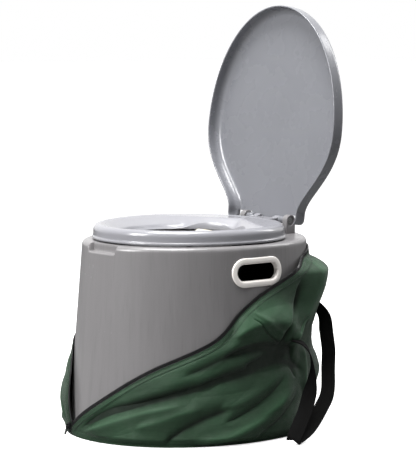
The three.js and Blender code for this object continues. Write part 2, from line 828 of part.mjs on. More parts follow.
function strapPiece(side) {
  const curveOf = (key) => new THREE.CatmullRomCurve3(
    STRAP_STATIONS.map((station) => new THREE.Vector3(...station[key])),
  );
  const path = curveOf("at");
  const turning = curveOf("across");
  const count = 64;
  const rings = Array.from({ length: count }, (_, i) => {
    const t = i / (count - 1);
    const along = path.getTangent(t);
    const across = turning.getPoint(t).addScaledVector(along, -turning.getPoint(t).dot(along)).normalize();
    const face = new THREE.Vector3().crossVectors(along, across);
    return [[-1, -1], [1, -1], [1, 1], [-1, 1]].map(([u, v]) => path.getPoint(t)
      .addScaledVector(across, (u * STRAP.width) / 2)
      .addScaledVector(face, (v * STRAP.thickness) / 2)
      .multiply(new THREE.Vector3(side, 1, 1)));
  });
  return loft(rings);
}

// ---------------------------------------------------------------------------
// Assembly
// ---------------------------------------------------------------------------

addPiece(toilet, "outer_casing", casingPiece(), MATERIALS.casing);
addPiece(toilet, "hand_slot_trim_left", trimPiece(1), MATERIALS.trim);
addPiece(toilet, "hand_slot_trim_right", trimPiece(-1), MATERIALS.trim);

addPiece(toilet, "inner_bucket", bucketPiece(), MATERIALS.bucket);
const bail = new THREE.Group();
bail.position.set(0, WELL.centreY, BAIL.z);
bail.rotation.x = radians(BAIL.tilt - 90);
toilet.add(bail);
addPiece(bail, "bucket_bail", bailPiece(), MATERIALS.steel);
addPiece(bail, "bail_grip", gripPiece(), MATERIALS.grip).position.z = BAIL.reach;

addPiece(toilet, "seat_ring", seatPiece(), MATERIALS.seat);

const lid = new THREE.Group();
lid.position.set(0, HINGE.y, HINGE.z);
lid.rotation.x = radians(-LID.openAngle);
toilet.add(lid);
addPiece(lid, "lid", lidPiece(), MATERIALS.lid);

for (const end of ["front", "rear"]) {
  const { x, y } = BUFFER[end];
  addPiece(toilet, `seat_buffer_${end}_left`, bufferPiece(), MATERIALS.rubber).position.set(x, y, 0);
  addPiece(toilet, `seat_buffer_${end}_right`, bufferPiece(), MATERIALS.rubber).position.set(-x, y, 0);
}

for (const [name, side] of [["left", 1], ["right", -1]]) {
  const pin = addPiece(toilet, `hinge_pin_${name}`, pinPiece(side), MATERIALS.steel);
  pin.position.set(0, HINGE.y, HINGE.z);
}

addPiece(toilet, "bag_base", bagBasePiece(), MATERIALS.fabric);
addPiece(toilet, "bag_side_left", bagSidePiece(ZIP_LEFT), MATERIALS.fabric);
addPiece(toilet, "bag_side_right", bagSidePiece(ZIP_RIGHT), MATERIALS.fabric);
addPiece(toilet, "zip_tape_left", zipTapePiece(ZIP_LEFT), MATERIALS.zip);
addPiece(toilet, "zip_tape_right", zipTapePiece(ZIP_RIGHT), MATERIALS.zip);

const apex = apexFrame();
toilet.add(apex);
addPiece(apex, "zip_slider", sliderPiece(), MATERIALS.slider);
addPiece(apex, "zip_bottom_stop", bottomStopPiece(), MATERIALS.slider);
const pull = addPiece(apex, "zip_pull", pullPiece(), MATERIALS.slider);
pull.position.y = ZIP.slider[2] + 1.3;
pull.rotation.x = radians(-ZIP.pullDroop);

addPiece(toilet, "carry_strap_left", strapPiece(1), MATERIALS.webbing);
addPiece(toilet, "carry_strap_right", strapPiece(-1), MATERIALS.webbing);

export default toilet;
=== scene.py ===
"""Looks of a portable camp toilet in its opened carry bag.

Metres, +Z up, the user facing -Y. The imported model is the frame: each piece
made here stands for one of its nodes and rides on that node's body. Sizes
below are in millimetres, as in the design, and MM turns them into metres.
"""

import json
import math

import bpy
import bmesh
import numpy as np
from mathutils import Matrix, Vector


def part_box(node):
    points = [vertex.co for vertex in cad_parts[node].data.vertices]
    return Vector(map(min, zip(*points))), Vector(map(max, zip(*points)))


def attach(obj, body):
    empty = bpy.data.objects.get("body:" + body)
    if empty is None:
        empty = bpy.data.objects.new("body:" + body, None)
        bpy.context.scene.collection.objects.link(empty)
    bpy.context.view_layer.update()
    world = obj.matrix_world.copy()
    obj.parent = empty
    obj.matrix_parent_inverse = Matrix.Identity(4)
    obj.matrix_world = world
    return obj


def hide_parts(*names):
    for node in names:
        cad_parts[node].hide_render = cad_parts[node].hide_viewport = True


MM = 0.001
AROUND = 360  # points around the large ovals

# ---------------------------------------------------------------------------
# Frame
# ---------------------------------------------------------------------------

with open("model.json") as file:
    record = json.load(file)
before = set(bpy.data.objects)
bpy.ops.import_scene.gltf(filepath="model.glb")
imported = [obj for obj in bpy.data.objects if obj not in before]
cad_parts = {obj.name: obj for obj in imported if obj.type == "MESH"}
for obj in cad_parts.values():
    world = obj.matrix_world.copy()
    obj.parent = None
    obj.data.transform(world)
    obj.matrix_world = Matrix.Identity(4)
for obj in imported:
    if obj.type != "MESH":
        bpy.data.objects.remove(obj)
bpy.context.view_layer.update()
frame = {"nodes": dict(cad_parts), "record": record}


def box_mm(node):
    """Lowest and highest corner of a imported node, in millimetres."""
    low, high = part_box(node)
    return np.array(low) / MM, np.array(high) / MM


casing_low, casing_high = box_mm("outer_casing")
seat_low, _ = box_mm("seat_ring")
bucket_low, bucket_high = box_mm("inner_bucket")
_, base_high = box_mm("bag_base")
pin_low, pin_high = box_mm("hinge_pin_left")

DECK_Z = 336.0
CASING_LOW = {"z": casing_low[2], "half": casing_high[0], "length": 228.5, "centre": -1.0}
CASING_HIGH = {"z": DECK_Z, "half": 170.0, "length": 212.0, "centre": 5.5}
REAR_POWER = 2.2
WALL = 3.0
RIM_RADIUS = 8.0
WELL = {"half": 113.0, "length": 127.0, "centre": -22.0, "ledge": 10.0, "ledge_z": 328.0, "foot": 319.0}
NOTCH = {"half": 36.5, "floor": 322.0, "back": -192.0}
HINGE_Y = (pin_low[1] + pin_high[1]) / 2
HINGE_Z = (pin_low[2] + pin_high[2]) / 2
KNUCKLE_X = (19.0, 33.5)
LUG_X = (34.5, 50.5)
POST_X = (51.5, 63.5)
POST_RADIUS = 10.5
RECESS = (7.4, 8.8, 1.2, 0.6)  # half width, half height, lean and drop below the hinge line
BARREL_RADIUS = 6.5
BORE_RADIUS = 3.3
SEAT = {"half": 162.5, "front": 198.0, "rear": 152.0, "centre": 12.0, "power": 2.05, "round": 11}
SEAT_LIP = seat_low[2]
SEAT_CROWN = 363.0
SEAT_UNDER = 351.0
OPENING = {"half": 104.0, "length": 118.0, "centre": -22.0, "z": 340.3}
BUCKET = {"half": 109.0, "length": 123.0, "floor_scale": 0.78, "wall": 2.0}
LID_ANGLE = -96.0
SLOT = {"y": 4, "z": 290, "length": 91, "height": 29, "cut": 6}
BAG_LIE = 1.6
BAG_THICKNESS = 2.6
BAG_FOOT = base_high[2] + 0.3


# ---------------------------------------------------------------------------
# Small maths helpers (millimetres)
# ---------------------------------------------------------------------------

def smooth(value, low, high):
    """Smooth step from 0 at low to 1 at high."""
    t = np.clip((np.asarray(value, float) - low) / (high - low), 0, 1)
    return t * t * (3 - 2 * t)


def oval(angle, half, front, rear, centre, power=2.0):
    """Oval whose rear half (+Y) is a superellipse. Angles in radians."""
    angle = np.asarray(angle, float)
    cos, sin = np.cos(angle), np.sin(angle)
    bend = np.where(sin > 0, 2 / power, 1.0)
    x = half * np.sign(cos) * np.abs(cos) ** bend
    y = centre + np.where(sin > 0, rear, front) * np.sign(sin) * np.abs(sin) ** bend
    return x, y


def casing_size(z):
    """Half width, half length and middle of the casing's oval at a height."""
    t = (np.asarray(z, float) - CASING_LOW["z"]) / (CASING_HIGH["z"] - CASING_LOW["z"])
    return [CASING_LOW[key] + (CASING_HIGH[key] - CASING_LOW[key]) * t
            for key in ("half", "length", "centre")]


def casing_oval(angle, z, grow=0.0):
    """Point of the casing's outer wall at a height, moved outwards by grow."""
    half, length, centre = casing_size(z)
    return oval(angle, half + grow, length + grow, length + grow, centre, REAR_POWER)


def well_oval(angle, grow=0.0):
    length = WELL["length"] + grow
    return oval(angle, WELL["half"] + grow, length, length, WELL["centre"])


def seat_oval(angle, inset=0.0):
    return oval(angle, SEAT["half"] - inset, SEAT["front"] - inset, SEAT["rear"] - inset,
                SEAT["centre"], SEAT["power"])


def opening_oval(angle, grow=0.0):
    length = OPENING["length"] + grow
    return oval(angle, OPENING["half"] + grow, length, length, OPENING["centre"])


def casing_x(y, z):
    """Half width of the casing at a place (y, z) near its side."""
    half, length, centre = casing_size(z)
    share = np.abs((y - centre) / length)
    power = np.where(y > centre, REAR_POWER, 2.0)
    return half * (1 - share ** power) ** (1 / power)


def arc(centre, radius, start, end, count):
    """Points on a flat arc, angles in degrees."""
    turn = np.radians(np.linspace(start, end, count))
    return [(centre[0] + radius * math.cos(a), centre[1] + radius * math.sin(a)) for a in turn]


def around(count=AROUND):
    """Angles that start half a step off the front middle, so that points mirror each other."""
    return -math.pi / 2 + (np.arange(count) + 0.5) * 2 * math.pi / count


def catmull(points, count):
    """Uniform Catmull-Rom curve through points, sampled evenly in parameter."""
    points = np.asarray(points, float)
    padded = np.vstack([2 * points[0] - points[1], points, 2 * points[-1] - points[-2]])
    places = np.linspace(0, len(points) - 1, count)
    index = np.minimum(places.astype(int), len(points) - 2)
    t = (places - index)[:, None]
    a, b, c, d = (padded[index + k] for k in range(4))
    return 0.5 * (2 * b + (c - a) * t + (2 * a - 5 * b + 4 * c - d) * t ** 2
                  + (3 * b - a - 3 * c + d) * t ** 3)


def unit(vectors):
    vectors = np.asarray(vectors, float)
    return vectors / np.maximum(np.linalg.norm(vectors, axis=-1, keepdims=True), 1e-9)


# ---------------------------------------------------------------------------
# Mesh helpers
# ---------------------------------------------------------------------------

def new_piece(name, verts, faces, node, slot, materials, smooth_angle=40):
    """A mesh piece in metres that stands for a node and rides on its body."""
    mesh = bpy.data.meshes.new(name)
    mesh.from_pydata([tuple(v) for v in np.asarray(verts, float) * MM], [], faces)
    mesh.validate()
    piece = bpy.data.objects.new(name, mesh)
    bpy.context.scene.collection.objects.link(piece)
    outward(piece)
    for item in materials:
        mesh.materials.append(item)
    shade(piece, smooth_angle)
    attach(piece, body_of_node(node))
    return piece


def body_of_node(node):
    bodies = frame["record"]["behaviour"]["bodies"]
    return next(body for body, nodes in bodies.items() if node in nodes)


def outward(piece):
    """Makes every face of a closed mesh point out."""
    work = bmesh.new()
    work.from_mesh(piece.data)
    bmesh.ops.recalc_face_normals(work, faces=work.faces)
    work.to_mesh(piece.data)
    work.free()


def shade(piece, degrees):
    """Smooth shading with sharp edges where the surface turns by more than some degrees."""
    piece.data.shade_smooth()
    piece.data.set_sharp_from_angle(angle=math.radians(degrees))


def loft(rings, is_loop=False, capped=True):
    """Vertices and quads through rings of equal length."""
    rings = [np.asarray(ring, float) for ring in rings]
    count = len(rings[0])
    verts = np.vstack(rings)
    faces = []
    spans = len(rings) if is_loop else len(rings) - 1
    for r in range(spans):
        low, high = r * count, ((r + 1) % len(rings)) * count
        for i in range(count):
            j = (i + 1) % count
            faces.append((low + i, low + j, high + j, high + i))
    if capped and not is_loop:
        last = (len(rings) - 1) * count
        for i in range(count // 2 - 1):
            mirror = count - 1 - i
            faces.append((i, mirror, mirror - 1, i + 1))
            faces.append((last + i, last + i + 1, last + mirror - 1, last + mirror))
    return verts, faces


def end_caps(count, last):
    """End faces of a row of rings: the first ring, and the one that starts at index last."""
    return [tuple(range(count)), tuple(last + i for i in reversed(range(count)))]


def merged(parts):
    """Several (verts, faces) as one."""
    verts, faces, offset = [], [], 0
    for part_verts, part_faces in parts:
        verts.append(np.asarray(part_verts, float))
        faces += [tuple(i + offset for i in face) for face in part_faces]
        offset += len(part_verts)
    return np.vstack(verts), faces


def sweep(points, across, face, section):
    """Section points (u across, v along face normal) carried along a path, with closed ends."""
    rings = [p + np.outer(section[:, 0], a) + np.outer(section[:, 1], f)
             for p, a, f in zip(points, across, face)]
    verts, faces = loft(rings, capped=False)
    return verts, faces + end_caps(len(section), len(verts) - len(section))


def prism(outline, x0, x1):
    """Y-Z outline extended along X."""
    outline = np.asarray(outline, float)
    count = len(outline)
    verts = np.vstack([
        np.column_stack([np.full(count, x0), outline]),
        np.column_stack([np.full(count, x1), outline]),
    ])
    faces = [(i, (i + 1) % count, count + (i + 1) % count, count + i) for i in range(count)]
    return verts, faces + end_caps(count, count)


def side_prism(outline, side, x0, x1):
    """Y-Z outline between two distances from the middle, on the left (1) or right (-1)."""
    return prism(outline, *sorted((side * x0, side * x1)))


def hinge_bore(centre):
    """Y-Z outline of the round hole for a hinge pin."""
    return arc(centre, BORE_RADIUS, 0, 345, 24)


def box_part(low, high):
    outline = [(low[1], low[2]), (high[1], low[2]), (high[1], high[2]), (low[1], high[2])]
    return prism(outline, low[0], high[0])


def cut_with(piece, parts, operation="DIFFERENCE"):
    """Boolean with plain cutters, applied to the mesh."""
    for verts, faces in parts:
        mesh = bpy.data.meshes.new("cutter")
        mesh.from_pydata([tuple(v) for v in np.asarray(verts, float) * MM], [], faces)
        cutter = bpy.data.objects.new("cutter", mesh)
        bpy.context.scene.collection.objects.link(cutter)
        outward(cutter)
        modifier = piece.modifiers.new("cut", "BOOLEAN")
        modifier.operation = operation
        modifier.solver = "EXACT"
        modifier.object = cutter
        apply_modifiers(piece)
        bpy.data.objects.remove(cutter)


def apply_modifiers(piece):
    graph = bpy.context.evaluated_depsgraph_get()
    graph.update()
    mesh = bpy.data.meshes.new_from_object(piece.evaluated_get(graph))
    old = piece.data
    piece.modifiers.clear()
    piece.data = mesh
    bpy.data.meshes.remove(old)


def weld(piece, distance=0.01):
    """Join points that the booleans left within a hair of each other."""
    mesh = bmesh.new()
    mesh.from_mesh(piece.data)
    bmesh.ops.remove_doubles(mesh, verts=mesh.verts, dist=distance * MM)
    mesh.to_mesh(piece.data)
    mesh.free()


def bevelled(piece, width):
    """Rounds the sharp edges of a piece."""
    modifier = piece.modifiers.new("bevel", "BEVEL")
    modifier.width = width * MM
    modifier.segments = 3
    modifier.limit_method = "ANGLE"
    modifier.angle_limit = math.radians(35)
    apply_modifiers(piece)


def place_open_lid(verts):
    """Turns points from the closed lid, measured from the hinge line, to the open lid."""
    turn = math.radians(LID_ANGLE)
    rotation = np.array(Matrix.Rotation(turn, 3, "X"))
    return np.asarray(verts, float) @ rotation.T + np.array([0, HINGE_Y, HINGE_Z])


# ---------------------------------------------------------------------------
# Materials
# ---------------------------------------------------------------------------

class Look:
    """Short way to wire the nodes of one procedural material."""

    def __init__(self, name):
        self.material = bpy.data.materials.new(name)
        self.material.use_nodes = True
        self.tree = self.material.node_tree
        self.shader = self.tree.nodes["Principled BSDF"]
        self.place = self.tree.nodes.new("ShaderNodeTexCoord").outputs["Object"]

    def node(self, kind, inputs=None, **settings):
        made = self.tree.nodes.new(kind)
        for key, value in settings.items():
            setattr(made, key, value)
        for key, value in (inputs or {}).items():
            self.feed(made.inputs[key], value)
        return made

    def feed(self, socket, value):
        if isinstance(value, bpy.types.NodeSocket):
            self.tree.links.new(value, socket)
        else:
            socket.default_value = value

    def stretch(self, scale, source=None):
        mapping = self.node("ShaderNodeMapping", {"Vector": source or self.place, "Scale": scale})
        return mapping.outputs["Vector"]

    def noise(self, scale, detail=3.0, stretch=None, source=None):
        where = self.stretch(stretch, source) if stretch else (source or self.place)
        made = self.node("ShaderNodeTexNoise", {"Vector": where, "Scale": scale, "Detail": detail})
        return made.outputs["Fac"]

    def math(self, operation, a, b=0.0):
        made = self.node("ShaderNodeMath", operation=operation)
        for socket, value in zip(made.inputs, (a, b)):
            self.feed(socket, value)
        return made.outputs[0]

    def ramp(self, value, low, high, to_low=0.0, to_high=1.0):
        made = self.node("ShaderNodeMapRange", {
            "Value": value, "From Min": low, "From Max": high, "To Min": to_low, "To Max": to_high})
        made.interpolation_type = "SMOOTHSTEP"
        return made.outputs[0]

    def mix(self, share, a, b):
        made = self.node("ShaderNodeMix", data_type="RGBA")
        self.feed(made.inputs["Factor"], share)
        self.feed(made.inputs["A"], a)
        self.feed(made.inputs["B"], b)
        return made.outputs["Result"]

    def set(self, **values):
        for key, value in values.items():
            self.feed(self.shader.inputs[key.replace("_", " ")], value)

    def relief(self, *layers):
        """Bump layers given as (height, depth in metres)."""
        normal = None
        for height, depth in layers:
            made = self.node("ShaderNodeBump", {"Height": height, "Distance": depth, "Strength": 1.0})
            if normal is not None:
                self.feed(made.inputs["Normal"], normal)
            normal = made.outputs["Normal"]
        self.feed(self.shader.inputs["Normal"], normal)


def rgba(r, g, b):
    """Linear colour from 0-255 display values."""
    def linear(value):
        share = value / 255
        return share / 12.92 if share <= 0.04045 else ((share + 0.055) / 1.055) ** 2.4
    return (linear(r), linear(g), linear(b), 1.0)


def scaled(colour, factor):
    """The same colour, lighter or darker."""
    return tuple(factor * channel for channel in colour[:3]) + (1.0,)


def plastic(name, colour, rough=0.34, streaks=0.0, coat=0.25, wave=0.0003):
    """Moulded plastic: cloudy colour, fine grain and, where asked, drag marks with lighter painted
    reflection streaks, fine darker lines and scratches.
    """
    look = Look(name)
    cloud = look.noise(7.0, 2.0)
    base = look.mix(look.ramp(cloud, 0.3, 0.7), scaled(colour, 0.97), scaled(colour, 1.03))
    layers = [(look.noise(7.0, 0.0), wave), (look.noise(1500.0, 0.0), 0.000002)]
    if streaks:
        drag_and_reflection = look.noise(1.0, 3.0, stretch=(70, 70, 1.6))
        fine = look.noise(1.0, 3.0, stretch=(260, 260, 4))
        # Lighter streaks of colour are painted reflection streaks; the same pattern also bumps the surface
        # as drag marks. The fine pattern draws fine darker lines.
        base = look.mix(look.ramp(drag_and_reflection, 0.35, 0.7, 0, 1), scaled(colour, 1.06), base)
        base = look.mix(look.ramp(fine, 0.5, 0.75, 0, streaks), base, scaled(colour, 0.6))
        scratch = look.noise(1.0, 2.0, stretch=(420, 420, 60))
        spot = look.noise(14.0, 2.0)
        marks = look.math("MULTIPLY", look.ramp(scratch, 0.68, 0.72), look.ramp(spot, 0.62, 0.68))
        base = look.mix(look.math("MULTIPLY", marks, 0.6), base, (0.75, 0.75, 0.75, 1))
        layers.append((drag_and_reflection, 0.00025))
    worn = look.ramp(look.noise(24.0, 3.0), 0.2, 0.8, rough - 0.03, rough + 0.05)
    look.set(Base_Color=base, Roughness=worn, Coat_Weight=coat, Coat_Roughness=0.14)
    look.relief(*layers)
    return look.material


def metal(name, colour, rough=0.3):
    """Drawn or rolled metal with fine lines."""
    look = Look(name)
    lines = look.noise(1.0, 3.0, stretch=(90, 1800, 1800))
    look.set(Base_Color=look.mix(lines, colour, scaled(colour, 0.72)),
             Metallic=0.9, Roughness=look.ramp(lines, 0.2, 0.8, rough - 0.08, rough + 0.15))
    look.relief((lines, 0.00003))
    return look.material


def rubber(name, colour):
    look = Look(name)
    speck = look.noise(1400.0, 2.0)
    look.set(Base_Color=look.mix(speck, colour, scaled(colour, 1.5)), Roughness=0.75)
    look.relief((speck, 0.00006))
    return look.material


def cloth(name, colour, light, weave=0.9, rough=0.62, sheen=0.35):
    """Coated woven cloth. The mesh attribute thread holds its length and width in millimetres."""
    look = Look(name)
    thread = look.node("ShaderNodeAttribute", attribute_name="thread").outputs["Vector"]
    parts = look.node("ShaderNodeSeparateXYZ", {"Vector": thread})
    turn = 2 * math.pi / weave
    warp = look.math("SINE", look.math("MULTIPLY", parts.outputs["X"], turn))
    weft = look.math("SINE", look.math("MULTIPLY", parts.outputs["Y"], turn))
    over = look.math("MULTIPLY", warp, weft)
    slub = look.noise(1.0, 4.0, stretch=(0.02, 0.9, 1), source=thread)
    blotch = look.noise(11.0, 3.0)
    mix_share = look.math("ADD", look.ramp(blotch, 0.3, 0.75, 0.0, 0.55),
                          look.ramp(slub, 0.4, 0.7, 0.0, 0.3))
    base = look.mix(mix_share, colour, light)
    # Painted highlight on the fold ridges and painted shade in the creases, read from the mesh attribute
    # fold.
    fold = look.node("ShaderNodeAttribute", attribute_name="fold").outputs["Fac"]
    base = look.mix(look.ramp(fold, 0.2, 1.0, 0, 0.7), base, scaled(light, 1.25))
    painted_crease_shade = look.ramp(look.math("MULTIPLY", fold, -1.0), 0.1, 1.0, 0, 0.8)
    base = look.mix(painted_crease_shade, base, scaled(colour, 0.15))
    crease = look.noise(55.0, 6.0)
    look.set(Base_Color=base, Roughness=look.ramp(crease, 0.25, 0.75, rough - 0.1, rough + 0.12),
             Sheen_Weight=sheen, Sheen_Roughness=0.4, Specular_IOR_Level=0.4)
    look.relief((look.noise(30.0, 3.0), 0.0007), (crease, 0.00025), (over, 0.00008))
    return look.material


def webbing(name, colour, light):
    """Woven strap: ribs across and a twill slant; the bound edges come from the strap's section."""
    look = Look(name)
    thread = look.node("ShaderNodeAttribute", attribute_name="thread").outputs["Vector"]
    parts = look.node("ShaderNodeSeparateXYZ", {"Vector": thread})
    slant = look.math("ADD", parts.outputs["X"], look.math("ABSOLUTE", parts.outputs["Y"]))
    twill = look.math("SINE", look.math("MULTIPLY", slant, 2 * math.pi / 2.4))
    rib = look.math("SINE", look.math("MULTIPLY", parts.outputs["Y"], 2 * math.pi / 1.6))
    fuzz = look.noise(700.0, 3.0)
    share = look.math("MULTIPLY", look.ramp(twill, -0.4, 0.9), look.ramp(fuzz, 0.3, 0.8, 0.4, 1.0))
    look.set(Base_Color=look.mix(share, colour, light), Roughness=0.85, Specular_IOR_Level=0.12)
    look.relief((twill, 0.0002), (rib, 0.0001), (fuzz, 0.00008))
    return look.material


LOOKS = {
    "casing": plastic("casing_plastic", rgba(124, 122, 123), rough=0.31, streaks=0.16),
    "seat": plastic("seat_plastic", rgba(143, 143, 148), rough=0.22, coat=0.4, wave=0.00008),
    "lid": plastic("lid_plastic", rgba(121, 122, 127), rough=0.26, coat=0.35),
    "trim": plastic("trim_plastic", rgba(250, 245, 240), rough=0.35),
    "bucket": plastic("bucket_plastic", rgba(48, 49, 52), rough=0.42),
    # Near black plastic for the casing's inside below the deck: painted shade.
    "inside": plastic("casing_inside_shade", rgba(20, 20, 21), rough=0.7, coat=0.0),
    "grip": plastic("grip_plastic", rgba(224, 216, 196), rough=0.45),
    "wire": metal("bail_wire", (0.5, 0.5, 0.48, 1)),
    "steel": metal("pin_steel", (0.4, 0.4, 0.4, 1)),
    "rubber": rubber("buffer_rubber", rgba(30, 30, 31)),
    "cloth": cloth("bag_fabric", rgba(25, 52, 31), rgba(39, 72, 47), sheen=0.08),
    "thread": cloth("bag_thread", rgba(20, 34, 23), rgba(34, 52, 38), weave=0.5, rough=0.7),
    "tape": cloth("zip_tape", rgba(6, 6, 7), rgba(13, 13, 14), weave=0.7, rough=0.8, sheen=0.02),
    "teeth": plastic("zip_teeth", rgba(16, 16, 18), rough=0.35),
    "slider": metal("zip_metal", (0.05, 0.05, 0.055, 1), rough=0.38),
    "strap": webbing("strap_webbing", rgba(2, 2, 2), rgba(7, 6, 6)),
}


# ---------------------------------------------------------------------------
# Casing
# ---------------------------------------------------------------------------

def casing_angles():
    """Even angles with extra ones where the front notch's sides stand."""
    edge = math.asin(NOTCH["half"] / CASING_HIGH["half"])
    close = np.linspace(edge - 0.03, edge + 0.03, 13)
    half = np.concatenate([np.linspace(0.004, edge - 0.036, 14), close,
                           np.linspace(edge + 0.037, math.pi - 0.004, 170)])
    return np.concatenate([-math.pi / 2 + half, -math.pi / 2 - half[::-1]])


def casing_profile(angle):
    """Outer wall, rim, deck and well lip, then back down inside, as rings (x, y, z).

    Each ring runs between its place on the plain rim and on the front notch.
    """
    notch_floor, top = NOTCH["floor"], DECK_Z
    front = np.abs(angle + math.pi / 2)
    edge = math.asin(NOTCH["half"] / CASING_HIGH["half"])
    share = (1 - smooth(front, edge - 0.012, edge + 0.012))[:, None]
    plain, cut = [], []

    def both(one, other):
        plain.append(np.column_stack(one))
        cut.append(np.column_stack(other))

    def at(z, grow=0.0):
        x, y = casing_oval(angle, z, grow)
        return x, y, np.full_like(x, z)

    def ledge(reach, z):
        """Part of the way from the wall to the notch's back."""
        x0, y0 = casing_oval(angle, notch_floor, -3)
        x1 = x0 * 0.985
        y1 = np.full_like(x0, NOTCH["back"])
        return x0 + (x1 - x0) * reach, y0 + (y1 - y0) * reach, np.full_like(x0, z)

    for z in np.linspace(CASING_LOW["z"], 312, 40):
        both(at(z), at(z))
    both(at(top - RIM_RADIUS - 4), at(notch_floor - 3))
    for turn in np.radians(np.linspace(0, 90, 7)):
        lift, pull = math.sin(turn), 1 - math.cos(turn)
        both(at(top - RIM_RADIUS * (1 - lift), -RIM_RADIUS * pull),
             at(notch_floor - 3 * (1 - lift), -3 * pull))
    deck_outer = np.column_stack(at(top, -RIM_RADIUS))
    deck_inner = np.column_stack((*well_oval(angle, WELL["ledge"] + 3), np.full_like(angle, top)))
    for reach in (0.03, 0.06, 0.09, 0.12):
        flat = deck_outer + (deck_inner - deck_outer) * reach
        both(tuple(flat.T), ledge(reach / 0.12 * 0.9, notch_floor))
    for reach, rise in ((0.14, 0.1), (0.16, 0.35), (0.18, 0.7), (0.2, 0.9)):
        flat = deck_outer + (deck_inner - deck_outer) * reach
        x, y, z = ledge(1.0, notch_floor + (top - notch_floor) * rise)
        both(tuple(flat.T), (x, y + 0.6 * rise, z))
    for reach, slide in ((0.24, 1.5), (0.3, 4.0), (0.4, 8.0)):
        flat = deck_outer + (deck_inner - deck_outer) * reach
        x, y, z = ledge(1.0, top)
        both(tuple(flat.T), (x * 0.995, y + slide, z))
    flat = deck_outer + (deck_inner - deck_outer) * 0.7
    both(tuple(flat.T), tuple(flat.T))
    ledge_out, ledge_z, foot = WELL["ledge"], WELL["ledge_z"], WELL["foot"]
    for grow, z in ((ledge_out + 2, top), (ledge_out + 0.6, top - 0.6), (ledge_out, top - 2),
                    (ledge_out, ledge_z), (0.8, ledge_z), (0, ledge_z - 0.8), (0, foot), (WALL, foot),
                    (WALL, ledge_z - WALL), (ledge_out + WALL, ledge_z - WALL),
                    (ledge_out + WALL + 1, top - WALL)):
        ring = (*well_oval(angle, grow), np.full_like(angle, z))
        both(ring, ring)
    for grow, z in ((-34, top - 19), (-WALL, top - 24), (-WALL, 150), (-WALL, CASING_LOW["z"])):
        both(at(z, grow), at(z, grow))
    return [p * (1 - share) + c * share for p, c in zip(plain, cut)]


def obround(y, z, length, height, count=24):
    """Y-Z outline with round ends, and its outward directions."""
    radius, straight = height / 2, length / 2 - height / 2
    turns = np.radians(np.concatenate([np.linspace(-90, 90, count), np.linspace(90, 270, count)]))
    shift = np.repeat([straight, -straight], count)
    normal = np.column_stack([np.cos(turns), np.sin(turns)])
    return np.array([y, z]) + radius * normal + np.column_stack([shift, 0 * shift]), normal


def post_part(side):
    """Round-headed post on the deck, before its recess and bore are cut."""
    head = arc((HINGE_Y, HINGE_Z), POST_RADIUS, 0, 180, 20)
    foot = [(HINGE_Y - POST_RADIUS, DECK_Z - 2), (HINGE_Y + POST_RADIUS, DECK_Z - 2)]
    return side_prism(head + foot, side, *POST_X)


def make_casing():
    rings = casing_profile(casing_angles())
    verts, faces = loft(rings, is_loop=True)
    piece = new_piece("casing", verts, faces, "outer_casing", "casing_plastic",
                      [LOOKS["casing"], LOOKS["inside"]], 50)
    grown = SLOT["cut"]
    slot, _ = obround(SLOT["y"], SLOT["z"], SLOT["length"] + grown, SLOT["height"] + grown)
    cut_with(piece, [side_prism(slot, side, 140, 215) for side in (1, -1)])
    # Faces inside the casing below the deck get the near black painted shade.
    for face in piece.data.polygons:
        face.material_index = int(faces_inwards(face))
    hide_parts("outer_casing")
    make_post("left", 1)
    make_post("right", -1)


def faces_inwards(face):
    """Whether a face of the casing belongs to its inside below the deck, which is painted near black as
    shade.
    """
    x, y, z = (value / MM for value in face.center)
    px, py = casing_oval(np.array([math.atan2(y - 5, x)]), z)
    is_inner = math.hypot(x, y) < math.hypot(px[0], py[0]) - 2.4
    is_below = z < NOTCH["floor"] - 2
    return is_inner and is_below and face.normal.dot(Vector((x, y, 0)).normalized()) < 0.3


def make_post(name, side):
    """Hinge post with a tilted oval recess in its outer face and a bore for the pin."""
    post = new_piece(f"hinge_post_{name}", *post_part(side), "outer_casing", "casing_plastic",
                     [LOOKS["casing"]])
    turns = np.linspace(0, 2 * math.pi, 28, endpoint=False)
    wide, high, lean, drop = RECESS
    recess = [(HINGE_Y + wide * math.cos(t) + lean * math.sin(t), HINGE_Z - drop + high * math.sin(t))
              for t in turns]
    bore = side_prism(hinge_bore((HINGE_Y, HINGE_Z)), side, POST_X[0] - 2, POST_X[1] + 1)
    cut_with(post, [side_prism(recess, side, POST_X[1] - 3, POST_X[1] + 3), bore])
    bevelled(post, 0.8)
    shade(post, 40)


def make_trim(name, side):
    """White trim: a crowned flange on the curved wall that turns into the slot."""
    inner, normal = obround(SLOT["y"], SLOT["z"], SLOT["length"], SLOT["height"])
    section = [(10.6, 0.3), (10.5, 1.6), (9.8, 2.3), (8.6, 2.6), (4.0, 2.6), (2.0, 2.5), (0.8, 1.9),
               (0.1, 0.8), (0.0, -1.0), (0.0, -7.6), (3.2, -7.6), (3.2, -0.9), (3.9, 0.3)]
    rings = []
    for reach, height in section:
        place = inner + normal * reach
        x = casing_x(place[:, 0], place[:, 1]) + height
        rings.append(np.column_stack([side * x, place]))
    verts, faces = loft(rings, is_loop=True)
    piece = new_piece(f"slot_trim_{name}", verts, faces, f"hand_slot_trim_{name}", "trim_plastic",
                      [LOOKS["trim"]], 60)
    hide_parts(f"hand_slot_trim_{name}")


# ---------------------------------------------------------------------------
# Seat
# ---------------------------------------------------------------------------

def seat_top(x, y, share):
    """Height of the dished top, with the flatter platform in front of the hinge."""
    start = 0.07
    slope = -17.9 * (share - start * (1 - np.exp(-share / start)))
    dish = slope - 4.0 * smooth(share, 0.84, 1.0)
    ridge = (np.abs(x) - 19) * 0.47 + (y - 101) * 0.88
    platform = -0.9 - 17.4 * (1 - smooth(ridge, -15, 11))
    soft = 1.4
    blend = np.clip(0.5 + (platform - dish) / (2 * soft), 0, 1)
    raised = dish * (1 - blend) + platform * blend + soft * blend * (1 - blend)
    behind = smooth(y, 35, 60)
    return SEAT_CROWN + dish * (1 - behind) + raised * behind


